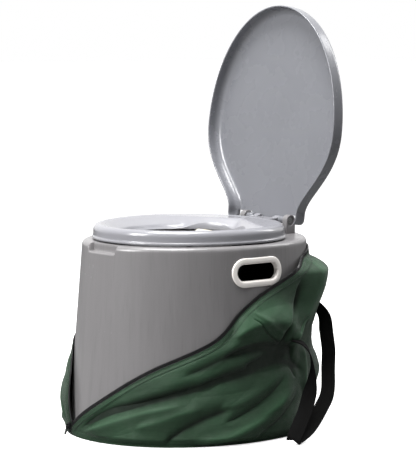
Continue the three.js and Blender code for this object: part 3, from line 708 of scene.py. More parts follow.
def make_seat():
    angle = around()
    ones = np.ones_like(angle)
    rings = []

    def outer(inset, z):
        rings.append(np.column_stack((*seat_oval(angle, inset), z * ones)))

    outer(1.2, SEAT_LIP)
    for inset, z in ((0.4, 0.4), (0.0, 1.4), (0.0, 2.8), (0.5, 4.0), (1.3, 4.6), (1.7, 5.4)):
        outer(inset, SEAT_LIP + z)
    outer(1.7, SEAT_LIP + 8)
    inset, radius = 1.9, SEAT["round"]
    outer(inset, SEAT_CROWN - radius)
    for turn in np.radians(np.linspace(8, 90, 9)):
        outer(inset + radius * (1 - math.cos(turn)), SEAT_CROWN - radius * (1 - math.sin(turn)))
    edge = np.column_stack(seat_oval(angle, 13))
    mouth = np.column_stack(opening_oval(angle, 1.5))
    for share in np.linspace(0.04, 1.0, 30):
        flat = edge + (mouth - edge) * share
        rings.append(np.column_stack([flat, seat_top(flat[:, 0], flat[:, 1], share)]))
    rim = rings[-1][:, 2]
    for grow, drop in ((0.5, 0.5), (0.0, 1.2)):
        z = np.maximum(rim - drop, OPENING["z"] + 0.5)
        rings.append(np.column_stack((*opening_oval(angle, grow), z)))
    for grow in (0.3, 1.2):
        rings.append(np.column_stack((*opening_oval(angle, grow), OPENING["z"] * ones)))
    under_mouth = np.column_stack(opening_oval(angle, 1.2))
    for share in (0.85, 0.5):
        flat = edge + (under_mouth - edge) * share
        rings.append(np.column_stack([flat, (SEAT_CROWN - 17.85 * share - 3.4) * ones]))
    outer(5, SEAT_UNDER)
    outer(4, SEAT_LIP + 1)
    outer(3.4, SEAT_LIP)
    verts, faces = loft(rings, is_loop=True)
    piece = new_piece("seat", verts, faces, "seat_ring", "seat_plastic", [LOOKS["seat"]], 60)
    y, z = HINGE_Y, HINGE_Z
    top = SEAT_CROWN - 1.2
    under = [(y - 52, SEAT_UNDER + 0.3), (y - 8, SEAT_UNDER + 0.3)]
    knuckle = under + arc((y, z), BARREL_RADIUS, 215, 430, 22) + [(y - 9, top), (y - 52, top - 0.6)]
    middle = under + arc((y, z), BARREL_RADIUS, 215, 380, 22) + [(y - 9, top), (y - 52, top - 0.6)]
    cut_with(piece, [prism(middle, -KNUCKLE_X[0] - 1, KNUCKLE_X[0] + 1)], "UNION")
    sides = [side_prism(knuckle, side, *KNUCKLE_X) for side in (1, -1)]
    cut_with(piece, sides, "UNION")
    cut_with(piece, [prism(hinge_bore((y, z)), -KNUCKLE_X[1] - 3, KNUCKLE_X[1] + 3)])
    shade(piece, 40)
    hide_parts("seat_ring")


# ---------------------------------------------------------------------------
# Lid
# ---------------------------------------------------------------------------

LID = {"reach": 387.0, "widest": 163.6, "half": 168.0, "neck": 92.0, "behind": 8.0,
       "top": 10.5, "under": 7.5, "rim": -16.0, "wall": 2.6, "round": 8.0, "fillet": 12.0,
       "gap": (51.0, 86.0)}


def bezier(points, count):
    t = np.linspace(0, 1, count + 1)[1:, None]
    points = [np.array(p, float) for p in points]
    while len(points) > 1:
        points = [a * (1 - t) + b * t for a, b in zip(points, points[1:])]
    return points[0]


def lid_outline():
    """Half outline from the front middle to the neck, then mirrored."""
    front = LID["reach"] - LID["widest"]
    turns = np.linspace(0.011, math.pi / 2, 80)
    half = np.column_stack([LID["half"] * np.sin(turns), -LID["widest"] - front * np.cos(turns)])
    flank = bezier([half[-1], (LID["half"], -113), (140, -82), (117.5, -55)], 26)
    waist = bezier([(117.5, -55), (106, -41.5), (LID["neck"], -26), (LID["neck"], -12)], 16)
    side = np.column_stack([np.full(3, LID["neck"]), np.linspace(-11, -8, 3)])
    corner = bezier([(LID["neck"], -6), (LID["neck"], LID["behind"]), (LID["neck"] - 14, LID["behind"])], 12)
    right = np.vstack([half, flank, waist, side, corner])
    return np.vstack([right, right[::-1] * [-1, 1]])


def room_inside(points, inward):
    """Radius of the largest circle inside the outline that touches it at each point."""
    gap = points[None] - points[:, None]
    towards = (gap * inward[:, None]).sum(-1)
    radius = (gap ** 2).sum(-1) / (2 * np.maximum(towards, 1e-6))
    return np.where(towards > 1e-6, radius, 1e4).min(1)


def inset_outline(points, distance):
    """Outline moved inwards by an even distance, less where it has no room to."""
    into = unit(points - np.roll(points, 1, axis=0))
    away = unit(np.roll(points, -1, axis=0) - points)
    mitre = np.column_stack([-into[:, 1] - away[:, 1], into[:, 0] + away[:, 0]])
    mitre /= (1 + (into * away).sum(1))[:, None]
    room = room_inside(points, unit(mitre))
    room = 0.85 * np.min([np.roll(room, step) for step in range(-7, 8)], axis=0)
    even = distance / (1 + (distance / room) ** 4) ** 0.25
    return points + mitre * even[:, None]


def lid_lug(side):
    shape = arc((0, 0), BARREL_RADIUS, 180, 360, 20)
    shape += [(BARREL_RADIUS, LID["under"] + 1), (-BARREL_RADIUS, LID["under"] + 1)]
    return side_prism(shape, side, *LUG_X)


def make_lid():
    outline = lid_outline()
    ones = np.ones(len(outline))
    rings = []

    def ring(inset, z):
        rings.append(np.column_stack([inset_outline(outline, inset), z * ones]))

    radius, fillet, gap = LID["round"], LID["fillet"], LID["gap"]
    ring(10.5, LID["top"])
    for turn in np.radians(np.linspace(90, 0, 8)):
        ring(radius * (1 - math.cos(turn)), LID["top"] - radius * (1 - math.sin(turn)))
    for z in np.linspace(0, LID["rim"] + 1.4, 6):
        ring(0, z)
    for inset, z in ((0.2, 0.5), (0.9, 0.0), (1.7, 0.0), (2.4, 0.5), (LID["wall"], 1.4)):
        ring(inset, LID["rim"] + z)
    for z in np.linspace(LID["rim"] + 4, LID["under"] - fillet, 3):
        ring(LID["wall"], z)
    for turn in np.radians(np.linspace(8, 90, 9)):
        ring(LID["wall"] + fillet * (1 - math.cos(turn)), LID["under"] - fillet * (1 - math.sin(turn)))
    ring(LID["wall"] + fillet + 2, LID["under"])
    verts, faces = loft(rings)
    piece = new_piece("lid_shell", place_open_lid(verts), faces, "lid", "lid_plastic", [LOOKS["lid"]], 50)
    cutters = [box_part((-gap[1], -3.5, LID["rim"] - 2), (gap[1], 16, LID["under"] + 0.2))]
    for side in (1, -1):
        x0, x1 = sorted((side * gap[0], side * gap[1]))
        cutters.append(box_part((x0, -9, -2), (x1, 16, LID["top"] + 2)))
    cut_with(piece, [(place_open_lid(v), f) for v, f in cutters])
    lugs = [(place_open_lid(v), f) for v, f in (lid_lug(1), lid_lug(-1))]
    cut_with(piece, lugs, "UNION")
    bores = [side_prism(hinge_bore((0, 0)), side, LUG_X[0] - 2, LUG_X[1] + 2) for side in (1, -1)]
    cut_with(piece, [(place_open_lid(v), f) for v, f in bores])
    weld(piece)
    shade(piece, 45)
    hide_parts("lid")


# ---------------------------------------------------------------------------
# Bucket, bail and grip
# ---------------------------------------------------------------------------

BAIL = {"z": 322.0, "half": 95.0, "reach": 80.0, "straight": 54.0, "tilt": 10.0, "ear": 98.0}


def make_bucket():
    floor, rim, wall = bucket_low[2], bucket_high[2] - 3.0, BUCKET["wall"]
    angle = around(200)
    profile = [(floor, -40), (floor, -14), (floor, -6), (floor + 2, -2), (floor + 6, 0)]
    profile += [(z, 0.0) for z in np.linspace(floor + 20, rim - 8, 12)]
    profile += [(rim - 3, wall), (rim, wall + 0.3), (rim, 11), (rim + 1.2, 11), (rim + 2.6, 10.4)]
    profile += [(rim + 3, 9), (rim + 3, 2), (rim + 2.4, 0.6), (rim + 1, -0.2), (rim - 3, -1)]
    profile += [(z, -wall) for z in np.linspace(rim - 12, floor + 20, 12)]
    profile += [(floor + 8, -wall), (floor + 4, -4), (floor + wall, -8), (floor + wall, -40)]
    rings = []
    for z, grow in profile:
        scale = BUCKET["floor_scale"] + (1 - BUCKET["floor_scale"]) * (z - floor) / (rim - floor)
        half, length = BUCKET["half"] * scale + grow, BUCKET["length"] * scale + grow
        x, y = oval(angle, half, length, length, WELL["centre"])
        rings.append(np.column_stack([x, y, np.full_like(x, z)]))
    verts, faces = loft(rings)
    piece = new_piece("bucket", verts, faces, "inner_bucket", "bucket_plastic", [LOOKS["bucket"]], 50)
    centre, z, ear_x = WELL["centre"], BAIL["z"], BAIL["ear"]
    ear = arc((centre, z - 1), 7.5, 0, 180, 16) + [(centre - 7.5, z - 14), (centre + 7.5, z - 14)]
    cut_with(piece, [side_prism(ear, side, ear_x, ear_x + 11) for side in (1, -1)], "UNION")
    bore = arc((centre, z), 3.1, 0, 345, 20)
    cut_with(piece, [side_prism(bore, side, ear_x - 2, ear_x + 8) for side in (1, -1)])
    shade(piece, 40)
    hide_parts("inner_bucket")


def make_bail():
    """Wire hoop folded back, with its straight top inside the grip."""
    pivot = np.array([0, WELL["centre"], BAIL["z"]])
    tilt = math.radians(BAIL["tilt"])
    up = np.array([0, math.cos(tilt), math.sin(tilt)])
    straight, reach, half_width = BAIL["straight"], BAIL["reach"], BAIL["half"]
    turns = np.linspace(0, math.pi / 2, 24)[1:-1]
    half = [(BAIL["ear"] + 7, 0.0), (half_width + 1, 0.0)]
    half += [(straight + (half_width - straight) * math.cos(t), reach * math.sin(t)) for t in turns]
    half += [(straight, reach), (straight / 2, reach)]
    flat = np.array(half + [(-x, h) for x, h in reversed(half)])
    points = pivot + np.outer(flat[:, 0], [1, 0, 0]) + np.outer(flat[:, 1], up)
    along = unit(np.gradient(points, axis=0))
    across = np.tile(np.cross([1, 0, 0], up), (len(points), 1))
    face = np.cross(along, across)
    spin = np.linspace(0, 2 * math.pi, 12, endpoint=False)
    section = 2.45 * np.column_stack([np.cos(spin), np.sin(spin)])
    piece = new_piece("bail", *sweep(points, across, face, section), "bucket_bail", "bail_wire",
                      [LOOKS["wire"]], 60)
    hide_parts("bucket_bail")
    grip = [(3.2, -50), (5.6, -50), (6.6, -49.2)]
    for x in np.linspace(-46, 46, 24):
        grip += [(7.4, x - 1.3), (7.4, x + 0.9), (6.8, x + 1.5)]
    grip += [(6.6, 49.2), (5.6, 50), (3.2, 50)]
    verts, faces = tube(grip, 40)
    piece = new_piece("grip", verts + pivot + reach * up, faces, "bail_grip", "grip_plastic",
                      [LOOKS["grip"]], 40)
    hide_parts("bail_grip")


def tube(profile, count):
    """Profile loop (radius, along) turned about X into a closed tube."""
    profile = np.asarray(profile, float)
    turns = np.arange(count) * 2 * math.pi / count
    rings = [np.column_stack([profile[:, 1], profile[:, 0] * math.cos(t), profile[:, 0] * math.sin(t)])
             for t in turns]
    return loft(rings, is_loop=True)


# ---------------------------------------------------------------------------
# Carry bag
# ---------------------------------------------------------------------------

BULGES = [
    {"towards": 90, "fade": (45, 88), "rise": (150, 278, 305), "depth": 31},
    {"towards": 60, "fade": (8, 42), "rise": (55, 100, 148), "depth": 13},
    {"towards": 225, "fade": (25, 70), "rise": (-10, 60, 150), "depth": 9},
]
ZIP_APEX = (-105, 12)
ZIP_LEFT = [ZIP_APEX, (-84, 60), (-55, 123), (-24, 174), (-9, 226), (12, 268), (40, 306), (90, 318)]
ZIP_RIGHT = [ZIP_APEX, (-108, 60), (-114, 108), (-124, 145), (-150, 175), (-171, 226), (-192, 268),
             (-220, 306), (-270, 318)]


def bag_slack(angle, z):
    """How far the slack cloth stands off the casing, in the large."""
    degrees = np.degrees(angle)
    total = np.zeros(np.broadcast(angle, z).shape)
    for bulge in BULGES:
        apart = np.abs((degrees - bulge["towards"] + 180) % 360 - 180)
        low, peak, high = bulge["rise"]
        up = smooth(z, low, peak) * (1 - smooth(z, peak, high))
        total = total + bulge["depth"] * (1 - smooth(apart, *bulge["fade"])) * up
    return total


# Folds of each half: points (distance round the bag from the zip's lower end,
# height), then how far the cloth stands out (+) or in (-) and how far the fold
# spreads above and below its line. Upright folds list their points upwards.
LEFT_FOLDS = [
    ([(30, 16), (58, 32), (84, 46), (112, 58), (150, 70), (193, 83), (240, 96), (300, 108)], -12.0, 8, 20),
    ([(250, 99), (300, 114), (350, 124), (413, 143), (480, 158)], -11.0, 10, 34),
    ([(60, 52), (96, 76), (150, 102), (210, 126), (259, 146), (330, 168), (400, 178)], 2.5, 12, 12),
    ([(40, 12), (80, 26), (120, 42), (160, 56), (200, 66), (250, 76)], 5.0, 7, 11),
    ([(220, 116), (270, 134), (310, 149), (372, 160), (430, 158), (480, 152)], -5.5, 13, 26),
    ([(150, 30), (191, 44), (230, 58), (270, 66)], 4.0, 9, 14),
    ([(196, 6), (215, 18), (240, 34), (275, 50), (320, 62)], -6.5, 12, 16),
    ([(240, 3), (280, 8), (320, 18), (370, 38), (418, 62), (465, 88)], 7.0, 12, 18),
    ([(290, 62), (340, 74), (390, 94), (440, 114)], 2.5, 12, 12),
    ([(300, 38), (350, 56), (400, 80), (450, 110)], -5.0, 9, 9),
    ([(360, 10), (410, 32), (450, 56), (480, 80)], -5.0, 8, 10),
    ([(340, 134), (378, 136), (431, 132), (480, 118), (505, 100)], -7.0, 7, 16),
    ([(356, 214), (370, 206), (399, 182), (437, 162)], -3.2, 1.6, 2.2),
    ([(360, 224), (380, 211), (410, 190), (440, 176)], 2.6, 8, 4),
    ([(300, 148), (330, 158), (372, 163), (422, 156), (470, 150)], -8.0, 9, 12),
    ([(318, 180), (360, 202), (410, 206), (450, 196), (480, 190)], 9.0, 38, 15),
    ([(550, 246), (590, 250), (640, 250), (700, 246)], -7.0, 18, 30),
    ([(540, 294), (580, 293), (630, 292), (700, 290)], 4.0, 5, 18),
]
LEFT_UPRIGHT = [
    ([(428, 156), (442, 184), (458, 206), (474, 228), (482, 254), (484, 276)], -10.0, 7, 6),
    ([(452, 150), (480, 184), (504, 214), (520, 246), (530, 280), (534, 314)], 10.0, 30, 17),
    ([(494, 162), (503, 182), (506, 202)], -7.0, 5, 7),
    ([(472, 176), (486, 194), (500, 206), (512, 210)], -4.0, 4, 5),
    ([(470, 96), (462, 120), (456, 146), (454, 170)], -6.0, 6, 6),
    ([(504, 60), (500, 90), (505, 128), (498, 156)], 6.0, 10, 10),
    ([(604, 150), (610, 190), (616, 240), (620, 290)], -5.0, 10, 10),
    ([(640, 120), (646, 180), (652, 240), (656, 292)], 5.0, 16, 16),
    ([(690, 40), (692, 120), (688, 200), (690, 290)], -5.0, 12, 12),
]
RIGHT_FOLDS = [
    ([(24, 20), (70, 54), (130, 96), (190, 126)], 3.5, 9, 9),
    ([(30, 8), (80, 30), (150, 62), (230, 96), (300, 118)], -4.5, 8, 12),
    ([(60, 8), (140, 30), (220, 58), (320, 96)], 4.0, 12, 12),
    ([(170, 20), (250, 36), (330, 66), (420, 110)], -4.5, 12, 14),
    ([(240, 120), (320, 140), (400, 170), (470, 190)], 4.0, 14, 14),
    ([(330, 20), (400, 50), (470, 96), (520, 130)], 4.5, 13, 13),
    ([(390, 180), (440, 196), (500, 206), (560, 200)], -5.0, 10, 12),
]
RIGHT_UPRIGHT = [
    ([(470, 40), (476, 120), (488, 200), (492, 290)], -5.0, 12, 12),
    ([(540, 60), (546, 150), (540, 230), (536, 290)], 5.0, 14, 14),
    ([(610, 40), (606, 120), (612, 200), (608, 280)], -5.0, 12, 12),
]


def fold_relief(run, z, fold, is_upright, is_shade):
    """Height of one fold over the cloth: steep on one side, easy on the other.

    As a shade it keeps to the crease itself and to the side that faces down.
    """
    points, depth, before, after = fold
    line = catmull(points, 60)
    place, side = (z, run) if is_upright else (run, z)
    along, across = (line[:, 1], line[:, 0]) if is_upright else (line[:, 0], line[:, 1])
    off = side - np.interp(place, along, across)
    share = (place - along[0]) / (along[-1] - along[0])
    if is_shade:
        after = min(after * 0.35, before)
    spread = np.where(off > 0, before, after) * (0.45 + 0.55 * smooth(share, 0.0, 0.35))
    fade = smooth(share, 0, 0.14) * (1 - smooth(share, 0.78, 1.0))
    sharpness = 1.35 if depth < 0 else 1.7
    return depth * np.exp(-np.abs(off / spread) ** sharpness) * fade


def all_folds(run, z, lying, upright, is_shade):
    """Height of a half's lying and upright folds together."""
    return (sum(fold_relief(run, z, fold, False, is_shade) for fold in lying)
            + sum(fold_relief(run, z, fold, True, is_shade) for fold in upright))


def wrinkles(run, z):
    """Fine long wrinkles that fan out from the zip's lower end."""
    fan = z - 0.47 * run + 0.00028 * run ** 2
    drift = 1.7 * np.sin(run / 83) + np.sin(z / 37)
    strength = 0.55 + 0.45 * np.sin(run / 61 + z / 29)
    fine = np.abs(np.sin(fan / 17 + drift)) ** 0.7 + 0.5 * np.abs(np.sin(fan / 9.3 - 1.3 * drift)) ** 0.8
    return 1.5 * strength * (fine - 0.8)


def left_swell(run, z):
    """Slack of the left half between the zip and the ground."""
    return 9.0 * smooth(run, 20, 110) * (1 - smooth(run, 440, 510)) * (1 - smooth(z, 190, 250))


def right_swell(run, z):
    """Slack of the right half."""
    return 6.0 * smooth(run, 20, 110) * (1 - smooth(run, 430, 520))


class BagHalf:
    """One half of the bag as a grid: columns along the zip edge, rows upwards."""

    def __init__(self, corners, folds, swell, columns=420, rows=150):
        self.is_left = corners[1][0] > corners[0][0]
        self.folds = folds
        self.swell = swell
        edge = catmull(corners, columns)
        self.edge_angle = np.radians(edge[:, 0])
        self.edge_z = edge[:, 1]
        x, y = casing_oval(self.edge_angle, 60.0, 5)
        step = np.hypot(np.diff(x), np.diff(y))
        self.edge_run = np.concatenate([[0], np.cumsum(step)])
        self.rows = rows

    def run_at(self, angle):
        """Distance round the bag from the zip's lower end."""
        return self.along_edge(angle, self.edge_run)

    def below_edge(self, angle, z):
        """How far a place lies below the zip edge."""
        return np.maximum(self.along_edge(angle, self.edge_z) - z, 0)

    def along_edge(self, angle, values):
        """Value at an angle of something known at each point of the zip edge."""
        order = np.argsort(self.edge_angle)
        return np.interp(angle, self.edge_angle[order], values[order])

    def relief(self, angle, z, is_shade=False):
        """Height of the folds alone, faded out towards the hems and seams."""
        run = self.run_at(angle)
        free = smooth(self.below_edge(angle, z), 1, 13) * smooth(z, BAG_FOOT, BAG_FOOT + 8)
        seam = smooth(self.edge_run[-1] - run, 0, 22) * smooth(run, 0, 8)
        return all_folds(run, z, *self.folds, is_shade) * free * seam

    def stand_off(self, angle, z):
        """Distance of the cloth's inner face from the casing."""
        run = self.run_at(angle)
        free = smooth(self.below_edge(angle, z), 0, 40) * smooth(z, BAG_FOOT, BAG_FOOT + 12)
        ripple = 0.8 * np.sin(run / 31 + z / 47) * np.sin(z / 23 - run / 90)
        loose = (self.swell(run, z) + ripple + wrinkles(run, z)) * free * smooth(run, 0, 10)
        loose = loose * smooth(self.edge_run[-1] - run, 0, 22)
        near = bag_slack(angle, z) + BAG_LIE
        return np.maximum(near + loose + self.relief(angle, z), BAG_LIE * 0.6)

    def point(self, angle, z):
        x, y = casing_oval(angle, z, self.stand_off(angle, z))
        return np.stack([x, y, np.broadcast_to(z, x.shape)], -1)

    def normal(self, angle, z):
        """Outward direction of the cloth."""
        step_angle, step_z = 0.004, 0.8
        along = self.point(angle + step_angle, z) - self.point(angle - step_angle, z)
        up = self.point(angle, z + step_z) - self.point(angle, z - step_z)
        return unit(np.cross(along, up))


def bag_mesh(half, name, node):
    """One bag half: the grid's inner and outer face, closed all round."""
    rows = half.rows
    share = np.linspace(0, 1, rows)
    seam = 0.25 if half.is_left else -0.25
    angle = half.edge_angle.copy()
    angle[0] += math.radians(seam)
    angle[-1] -= math.radians(seam)
    columns = len(angle)
    grid_angle = np.repeat(angle[:, None], rows, 1)
    grid_z = BAG_FOOT + (half.edge_z[:, None] - BAG_FOOT) * share[None, :]
    inner = half.point(grid_angle, grid_z)
    hem = 1 - smooth(half.edge_z[:, None] - grid_z, 8.5, 10.5)
    foot_hem = 1 - smooth(grid_z - BAG_FOOT, 5, 8)
    thickness = BAG_THICKNESS - 0.9 + 0.9 * np.maximum(hem, foot_hem)
    outer = inner + half.normal(grid_angle, grid_z) * thickness[..., None]
    outer[..., 2] = np.maximum(outer[..., 2], BAG_FOOT)
    verts = np.concatenate([inner.reshape(-1, 3), outer.reshape(-1, 3)])
    offset = columns * rows
    faces = []
    for i in range(columns - 1):
        for k in range(rows - 1):
            a, b = i * rows + k, (i + 1) * rows + k
            faces.append((a, b, b + 1, a + 1))
            faces.append((offset + a, offset + a + 1, offset + b + 1, offset + b))
        for k in (0, rows - 1):
            a, b = i * rows + k, (i + 1) * rows + k
            faces.append((a, b, offset + b, offset + a))
    for i in (0, columns - 1):
        for k in range(rows - 1):
            a = i * rows + k
            faces.append((a, a + 1, offset + a + 1, offset + a))
    piece = new_piece(name, verts, faces, node, "bag_fabric", [LOOKS["cloth"]], 60)
    run = half.run_at(grid_angle)
    thread = np.stack([run, grid_z, 0 * run], -1).reshape(-1, 3)
    add_thread(piece, np.concatenate([thread, thread]))
    # The attribute fold holds painted shade for the creases (below zero) and painted highlight for the
    # ridges (above zero).
    fold = np.clip(half.relief(grid_angle, grid_z, True) / 7.0, -1, 1).ravel()
    attribute = piece.data.attributes.new("fold", "FLOAT", "POINT")
    attribute.data.foreach_set("value", np.concatenate([fold, fold]).astype(np.float32))
    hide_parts(node)


def add_thread(piece, values):
    attribute = piece.data.attributes.new("thread", "FLOAT_VECTOR", "POINT")
    attribute.data.foreach_set("vector", np.asarray(values, np.float32).ravel())


def edge_path(half, below, spacing, lift):
    """Path that follows the zip edge some way down the cloth, with its directions."""
    flat = np.column_stack([half.run_at(half.edge_angle[3:-2]), half.edge_z[3:-2]])
    along = unit(np.gradient(flat, axis=0))
    down = np.column_stack([along[:, 1], -along[:, 0]])
    run = flat[:, 0] + down[:, 0] * below
    z_at = flat[:, 1] + down[:, 1] * below
    angle_at = np.interp(run, half.edge_run, half.edge_angle)
    keep = (z_at > BAG_FOOT + 3) & (run > 2) & (run < half.edge_run[-1] - 2)
    points = half.point(angle_at[keep], z_at[keep])
    normal = half.normal(angle_at[keep], z_at[keep])
    step = np.linalg.norm(np.diff(points, axis=0), axis=1)
    length = np.concatenate([[0], np.cumsum(step)])
    targets = np.arange(0, length[-1], spacing)
    points = np.stack([np.interp(targets, length, points[:, k]) for k in range(3)], 1)
    normal = unit(np.stack([np.interp(targets, length, normal[:, k]) for k in range(3)], 1))
    return points + normal * lift, normal, unit(np.gradient(points, axis=0))


def dashes(points, normal, along, length, radius):
    """Short raised stitches at each place of a path."""
    spin = np.linspace(0, 2 * math.pi, 6, endpoint=False)
    parts = []
    for p, n, a in zip(points, normal, along):
        across = np.cross(a, n)
        rings = []
        for share, swell in ((-0.5, 0.4), (-0.3, 1.0), (0.3, 1.0), (0.5, 0.4)):
            centre = p + a * share * length
            circle = np.outer(np.cos(spin), n) + np.outer(np.sin(spin), across)
            rings.append(centre + radius * swell * circle)
        verts, faces = loft(rings, capped=False)
        parts.append((verts, faces + end_caps(len(spin), len(verts) - len(spin))))
    return merged(parts)


def make_stitches(half, name, node):
    """Two rows of stitches along the hem under the zip."""
    parts = []
    for below in (3.2, 8.6):
        points, normal, along = edge_path(half, below, 3.6, BAG_THICKNESS + 0.05)
        parts.append(dashes(points, normal, along, 2.7, 0.38))
    verts, faces = merged(parts)
    piece = new_piece(name, verts, faces, node, "bag_fabric", [LOOKS["thread"]], 60)
    add_thread(piece, verts)


def make_zip(half, name, node):
    """Tape above the cloth's edge with its row of coil teeth."""
    sign = 1 if half.is_left else -1
    points, normal, along = edge_path(half, 0, 2.0, BAG_THICKNESS / 2)
    away = unit(np.cross(normal, along)) * sign
    base = points + away * 0.8
    section = np.array([(0, -0.9), (4.8, -0.7), (5.0, 0.0), (4.8, 0.7), (0, 0.9)])
    verts, faces = sweep(base, away, normal, section)
    piece = new_piece(f"zip_tape_band_{name}", verts, faces, node, "zip_tape", [LOOKS["tape"]], 50)
    run = np.repeat(np.arange(len(base)) * 2.0, len(section))
    add_thread(piece, np.column_stack([run, np.tile(section[:, 0], len(base)), 0 * run]))
    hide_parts(node)
    corners = [(-1.1, -0.75), (1.2, -0.75), (1.6, 0), (1.2, 0.75), (-1.1, 0.75)]
    teeth = []
    for p, n, a, w in zip(base, normal, along, away):
        centre = p + w * 4.4
        rings = []
        for share in (-0.5, 0.5):
            at = centre + a * share * 1.25
            rings.append(np.array([at + w * u + n * (v * 1.35) for u, v in corners]))
        verts, faces = loft(rings, capped=False)
        teeth.append((verts, faces + end_caps(len(corners), len(corners))))
    verts, faces = merged(teeth)
    new_piece(f"zip_teeth_{name}", verts, faces, node, "zip_tape", [LOOKS["teeth"]], 30)


def make_bag():
    left = BagHalf(ZIP_LEFT, (LEFT_FOLDS, LEFT_UPRIGHT), left_swell)
    right = BagHalf(ZIP_RIGHT, (RIGHT_FOLDS, RIGHT_UPRIGHT), right_swell)
    for half, name in ((left, "left"), (right, "right")):
        bag_mesh(half, f"bag_{name}", f"bag_side_{name}")
        make_stitches(half, f"bag_stitches_{name}", f"bag_side_{name}")
        make_zip(half, name, f"zip_tape_{name}")


# ---------------------------------------------------------------------------
# Straps
# ---------------------------------------------------------------------------

STRAP_AT = [(186, 74, 168), (201, 85, 161), (212, 91, 145), (217, 93, 122), (219, 90, 98), (223, 80, 73),
            (234, 59, 48), (250, 27, 24), (258, 12, 12), (256, 18, 10), (239, 66, 22), (217, 116, 48),
            (202, 145, 70), (178, 169, 108), (167, 180, 137), (153, 187, 170), (146, 191, 187),
            (138, 192, 199), (127, 190, 209), (115, 186, 217)]
STRAP_ACROSS = [(0.36, -0.93, 0), (0.6, -0.8, 0), (0.76, -0.65, 0), (0.85, -0.5, 0), (0.98, -0.1, -0.1),
                (0.8, 0.55, -0.25), (0.6, 0.71, -0.37), (0.57, 0.67, -0.45), (0.55, 0.65, -0.5),
                (0.55, 0.65, -0.5), (0.55, 0.65, -0.5), (0.6, 0.7, -0.4), (0.63, 0.74, -0.25),
                (0.65, 0.76, -0.05), (0.65, 0.76, 0), (0.7, 0.7, 0.1), (0.9, 0.4, 0.1),
                (0.95, 0.1, 0.1), (0.9, 0.0, 0.2), (0.9, 0.0, 0.3)]


def make_strap(name, side):
    count = 260
    points = catmull(STRAP_AT, count)
    along = unit(np.gradient(points, axis=0))
    across = catmull(STRAP_ACROSS, count)
    across = unit(across - along * (across * along).sum(1)[:, None])
    face = np.cross(along, across)
    flip = np.array([side, 1, 1])
    half, thick = 12.5, 1.0
    section = [(-half, 0), (-half + 0.5, -0.75), (-half + 1.4, -thick), (-half + 2.6, -0.82)]
    section += [(u, -0.9) for u in np.linspace(-half + 4, half - 4, 9)]
    section += [(half - 2.6, -0.82), (half - 1.4, -thick), (half - 0.5, -0.75), (half, 0)]
    section += [(-u, -v) for u, v in section[1:-1]]
    section = np.array(section)
    verts, faces = sweep(points * flip, across * flip, face * flip, section)
    piece = new_piece(f"strap_{name}", verts, faces, f"carry_strap_{name}", "strap_webbing",
                      [LOOKS["strap"]], 60)
    step = np.linalg.norm(np.diff(points, axis=0), axis=1)
    run = np.repeat(np.concatenate([[0], np.cumsum(step)]), len(section))
    add_thread(piece, np.column_stack([run, np.tile(section[:, 0], count), 0 * run]))
    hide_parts(f"carry_strap_{name}")


# ---------------------------------------------------------------------------
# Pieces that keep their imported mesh
# ---------------------------------------------------------------------------

def dress(node, look):
    """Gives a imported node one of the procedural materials."""
    piece = frame["nodes"][node]
    piece.data.materials.clear()
    piece.data.materials.append(LOOKS[look])


def dress_kept_nodes():
    for node in frame["nodes"]:
        if "buffer" in node:
            dress(node, "rubber")
        elif node.startswith("hinge_pin"):
            dress(node, "steel")
        elif node.startswith("zip_"):
            dress(node, "slider")
        elif node == "bag_base":
            dress(node, "cloth")


# ---------------------------------------------------------------------------
# Stage: floor, light and camera
# ---------------------------------------------------------------------------

CAMERA = {"azimuth": 49.46, "distance": 3810.4, "height": 741.8, "aim_across": 29.3,
          "aim_height": 349.5, "roll": 0.0079, "lens": 169.45}


def make_camera():
    turn = math.radians(CAMERA["azimuth"])
    place = Vector((math.sin(turn), -math.cos(turn), 0)) * CAMERA["distance"]
    place.z = CAMERA["height"]
    target = Vector((math.cos(turn), math.sin(turn), 0)) * CAMERA["aim_across"]
    target.z = CAMERA["aim_height"]
    data = bpy.data.cameras.new("camera")
    data.lens = CAMERA["lens"]
    data.sensor_width = 36.0
    data.clip_start, data.clip_end = 0.1, 60
    camera = bpy.data.objects.new("camera", data)
    bpy.context.scene.collection.objects.link(camera)
    view = (target - place).normalized()
    right = view.cross(Vector((0, 0, 1))).normalized()
    up = right.cross(view)
    roll = CAMERA["roll"]
    right, up = (right * math.cos(roll) + up * math.sin(roll), up * math.cos(roll) - right * math.sin(roll))
    rotation = Matrix((right, up, -view)).transposed()
    camera.matrix_world = Matrix.Translation(place * MM) @ rotation.to_4x4()
    bpy.context.scene.camera = camera


def area_light(name, place, target, size, power):
    data = bpy.data.lights.new(name, "AREA")
    data.shape = "RECTANGLE"
    data.size, data.size_y = size
    data.energy = power
    light = bpy.data.objects.new(name, data)
    bpy.context.scene.collection.objects.link(light)
    light.location = place
    direction = Vector(target) - Vector(place)
    light.rotation_euler = direction.to_track_quat("-Z", "Y").to_euler()


TO_CAMERA = np.array([0.76, -0.65, 0.0])
CAMERA_LEFT = np.array([-0.65, -0.76, 0.0])


def light_at(left, near, height):
    """Place in metres given by how far left of and towards the camera it is."""
    return tuple(CAMERA_LEFT * left + TO_CAMERA * near + np.array([0, 0, height]))


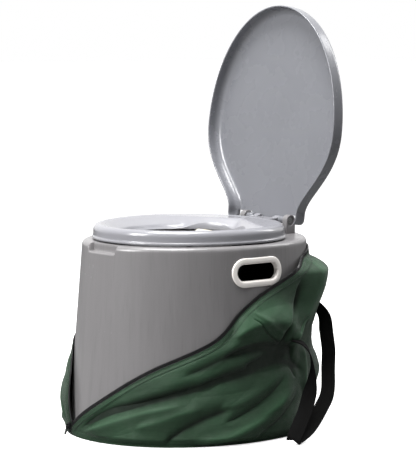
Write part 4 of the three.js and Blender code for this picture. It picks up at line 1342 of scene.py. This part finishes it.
def make_floor():
    """Pale floor: near white to the camera, duller for the light it throws back."""
    bpy.ops.mesh.primitive_plane_add(size=40, location=(0, 0, -0.0005))
    floor = bpy.context.object
    floor.name = "floor"
    look = Look("floor_paint")
    paint = look.mix(look.noise(3.0, 3.0), (0.86, 0.86, 0.86, 1), (0.9, 0.9, 0.9, 1))
    seen = look.node("ShaderNodeLightPath").outputs["Is Camera Ray"]
    look.set(Base_Color=look.mix(seen, (0.2, 0.2, 0.2, 1), paint), Roughness=0.8, Specular_IOR_Level=0.1,
             Emission_Color=(1, 1, 1, 1), Emission_Strength=look.math("MULTIPLY", seen, 0.72))
    floor.data.materials.append(look.material)


def make_world():
    """White backdrop behind the object and a dimmer room on the camera's side."""
    world = bpy.data.worlds.new("studio")
    bpy.context.scene.world = world
    world.use_nodes = True
    tree = world.node_tree
    place = tree.nodes.new("ShaderNodeTexCoord").outputs["Generated"]
    facing = tree.nodes.new("ShaderNodeVectorMath")
    facing.operation = "DOT_PRODUCT"
    tree.links.new(place, facing.inputs[0])
    facing.inputs[1].default_value = tuple(-TO_CAMERA)
    room = tree.nodes.new("ShaderNodeMapRange")
    tree.links.new(facing.outputs["Value"], room.inputs["Value"])
    for key, value in (("From Min", 0.0), ("From Max", 0.8), ("To Min", 0.15), ("To Max", 1.0)):
        room.inputs[key].default_value = value
    seen = tree.nodes.new("ShaderNodeLightPath").outputs["Is Camera Ray"]
    strength = tree.nodes.new("ShaderNodeMix")
    tree.links.new(seen, strength.inputs["Factor"])
    tree.links.new(room.outputs[0], strength.inputs["A"])
    strength.inputs["B"].default_value = 1.0
    tree.links.new(strength.outputs["Result"], tree.nodes["Background"].inputs["Strength"])
    tree.nodes["Background"].inputs["Color"].default_value = (1, 1, 1, 1)


def make_stage():
    make_floor()
    make_world()
    centre = (0, 0, 0.3)
    area_light("softbox_top", light_at(0.1, 0.25, 2.6), centre, (1.4, 1.4), 102)
    area_light("softbox_left", light_at(2.1, 1.6, 1.9), centre, (1.1, 1.5), 96)
    area_light("softbox_right", light_at(-2.2, -1.2, 1.9), centre, (0.7, 1.4), 20)
    bpy.context.scene.view_settings.view_transform = "Standard"


# ---------------------------------------------------------------------------
# Build
# ---------------------------------------------------------------------------

make_casing()
make_trim("left", 1)
make_trim("right", -1)
make_seat()
make_lid()
make_bucket()
make_bail()
make_bag()
make_strap("left", 1)
make_strap("right", -1)
dress_kept_nodes()
make_camera()
make_stage()
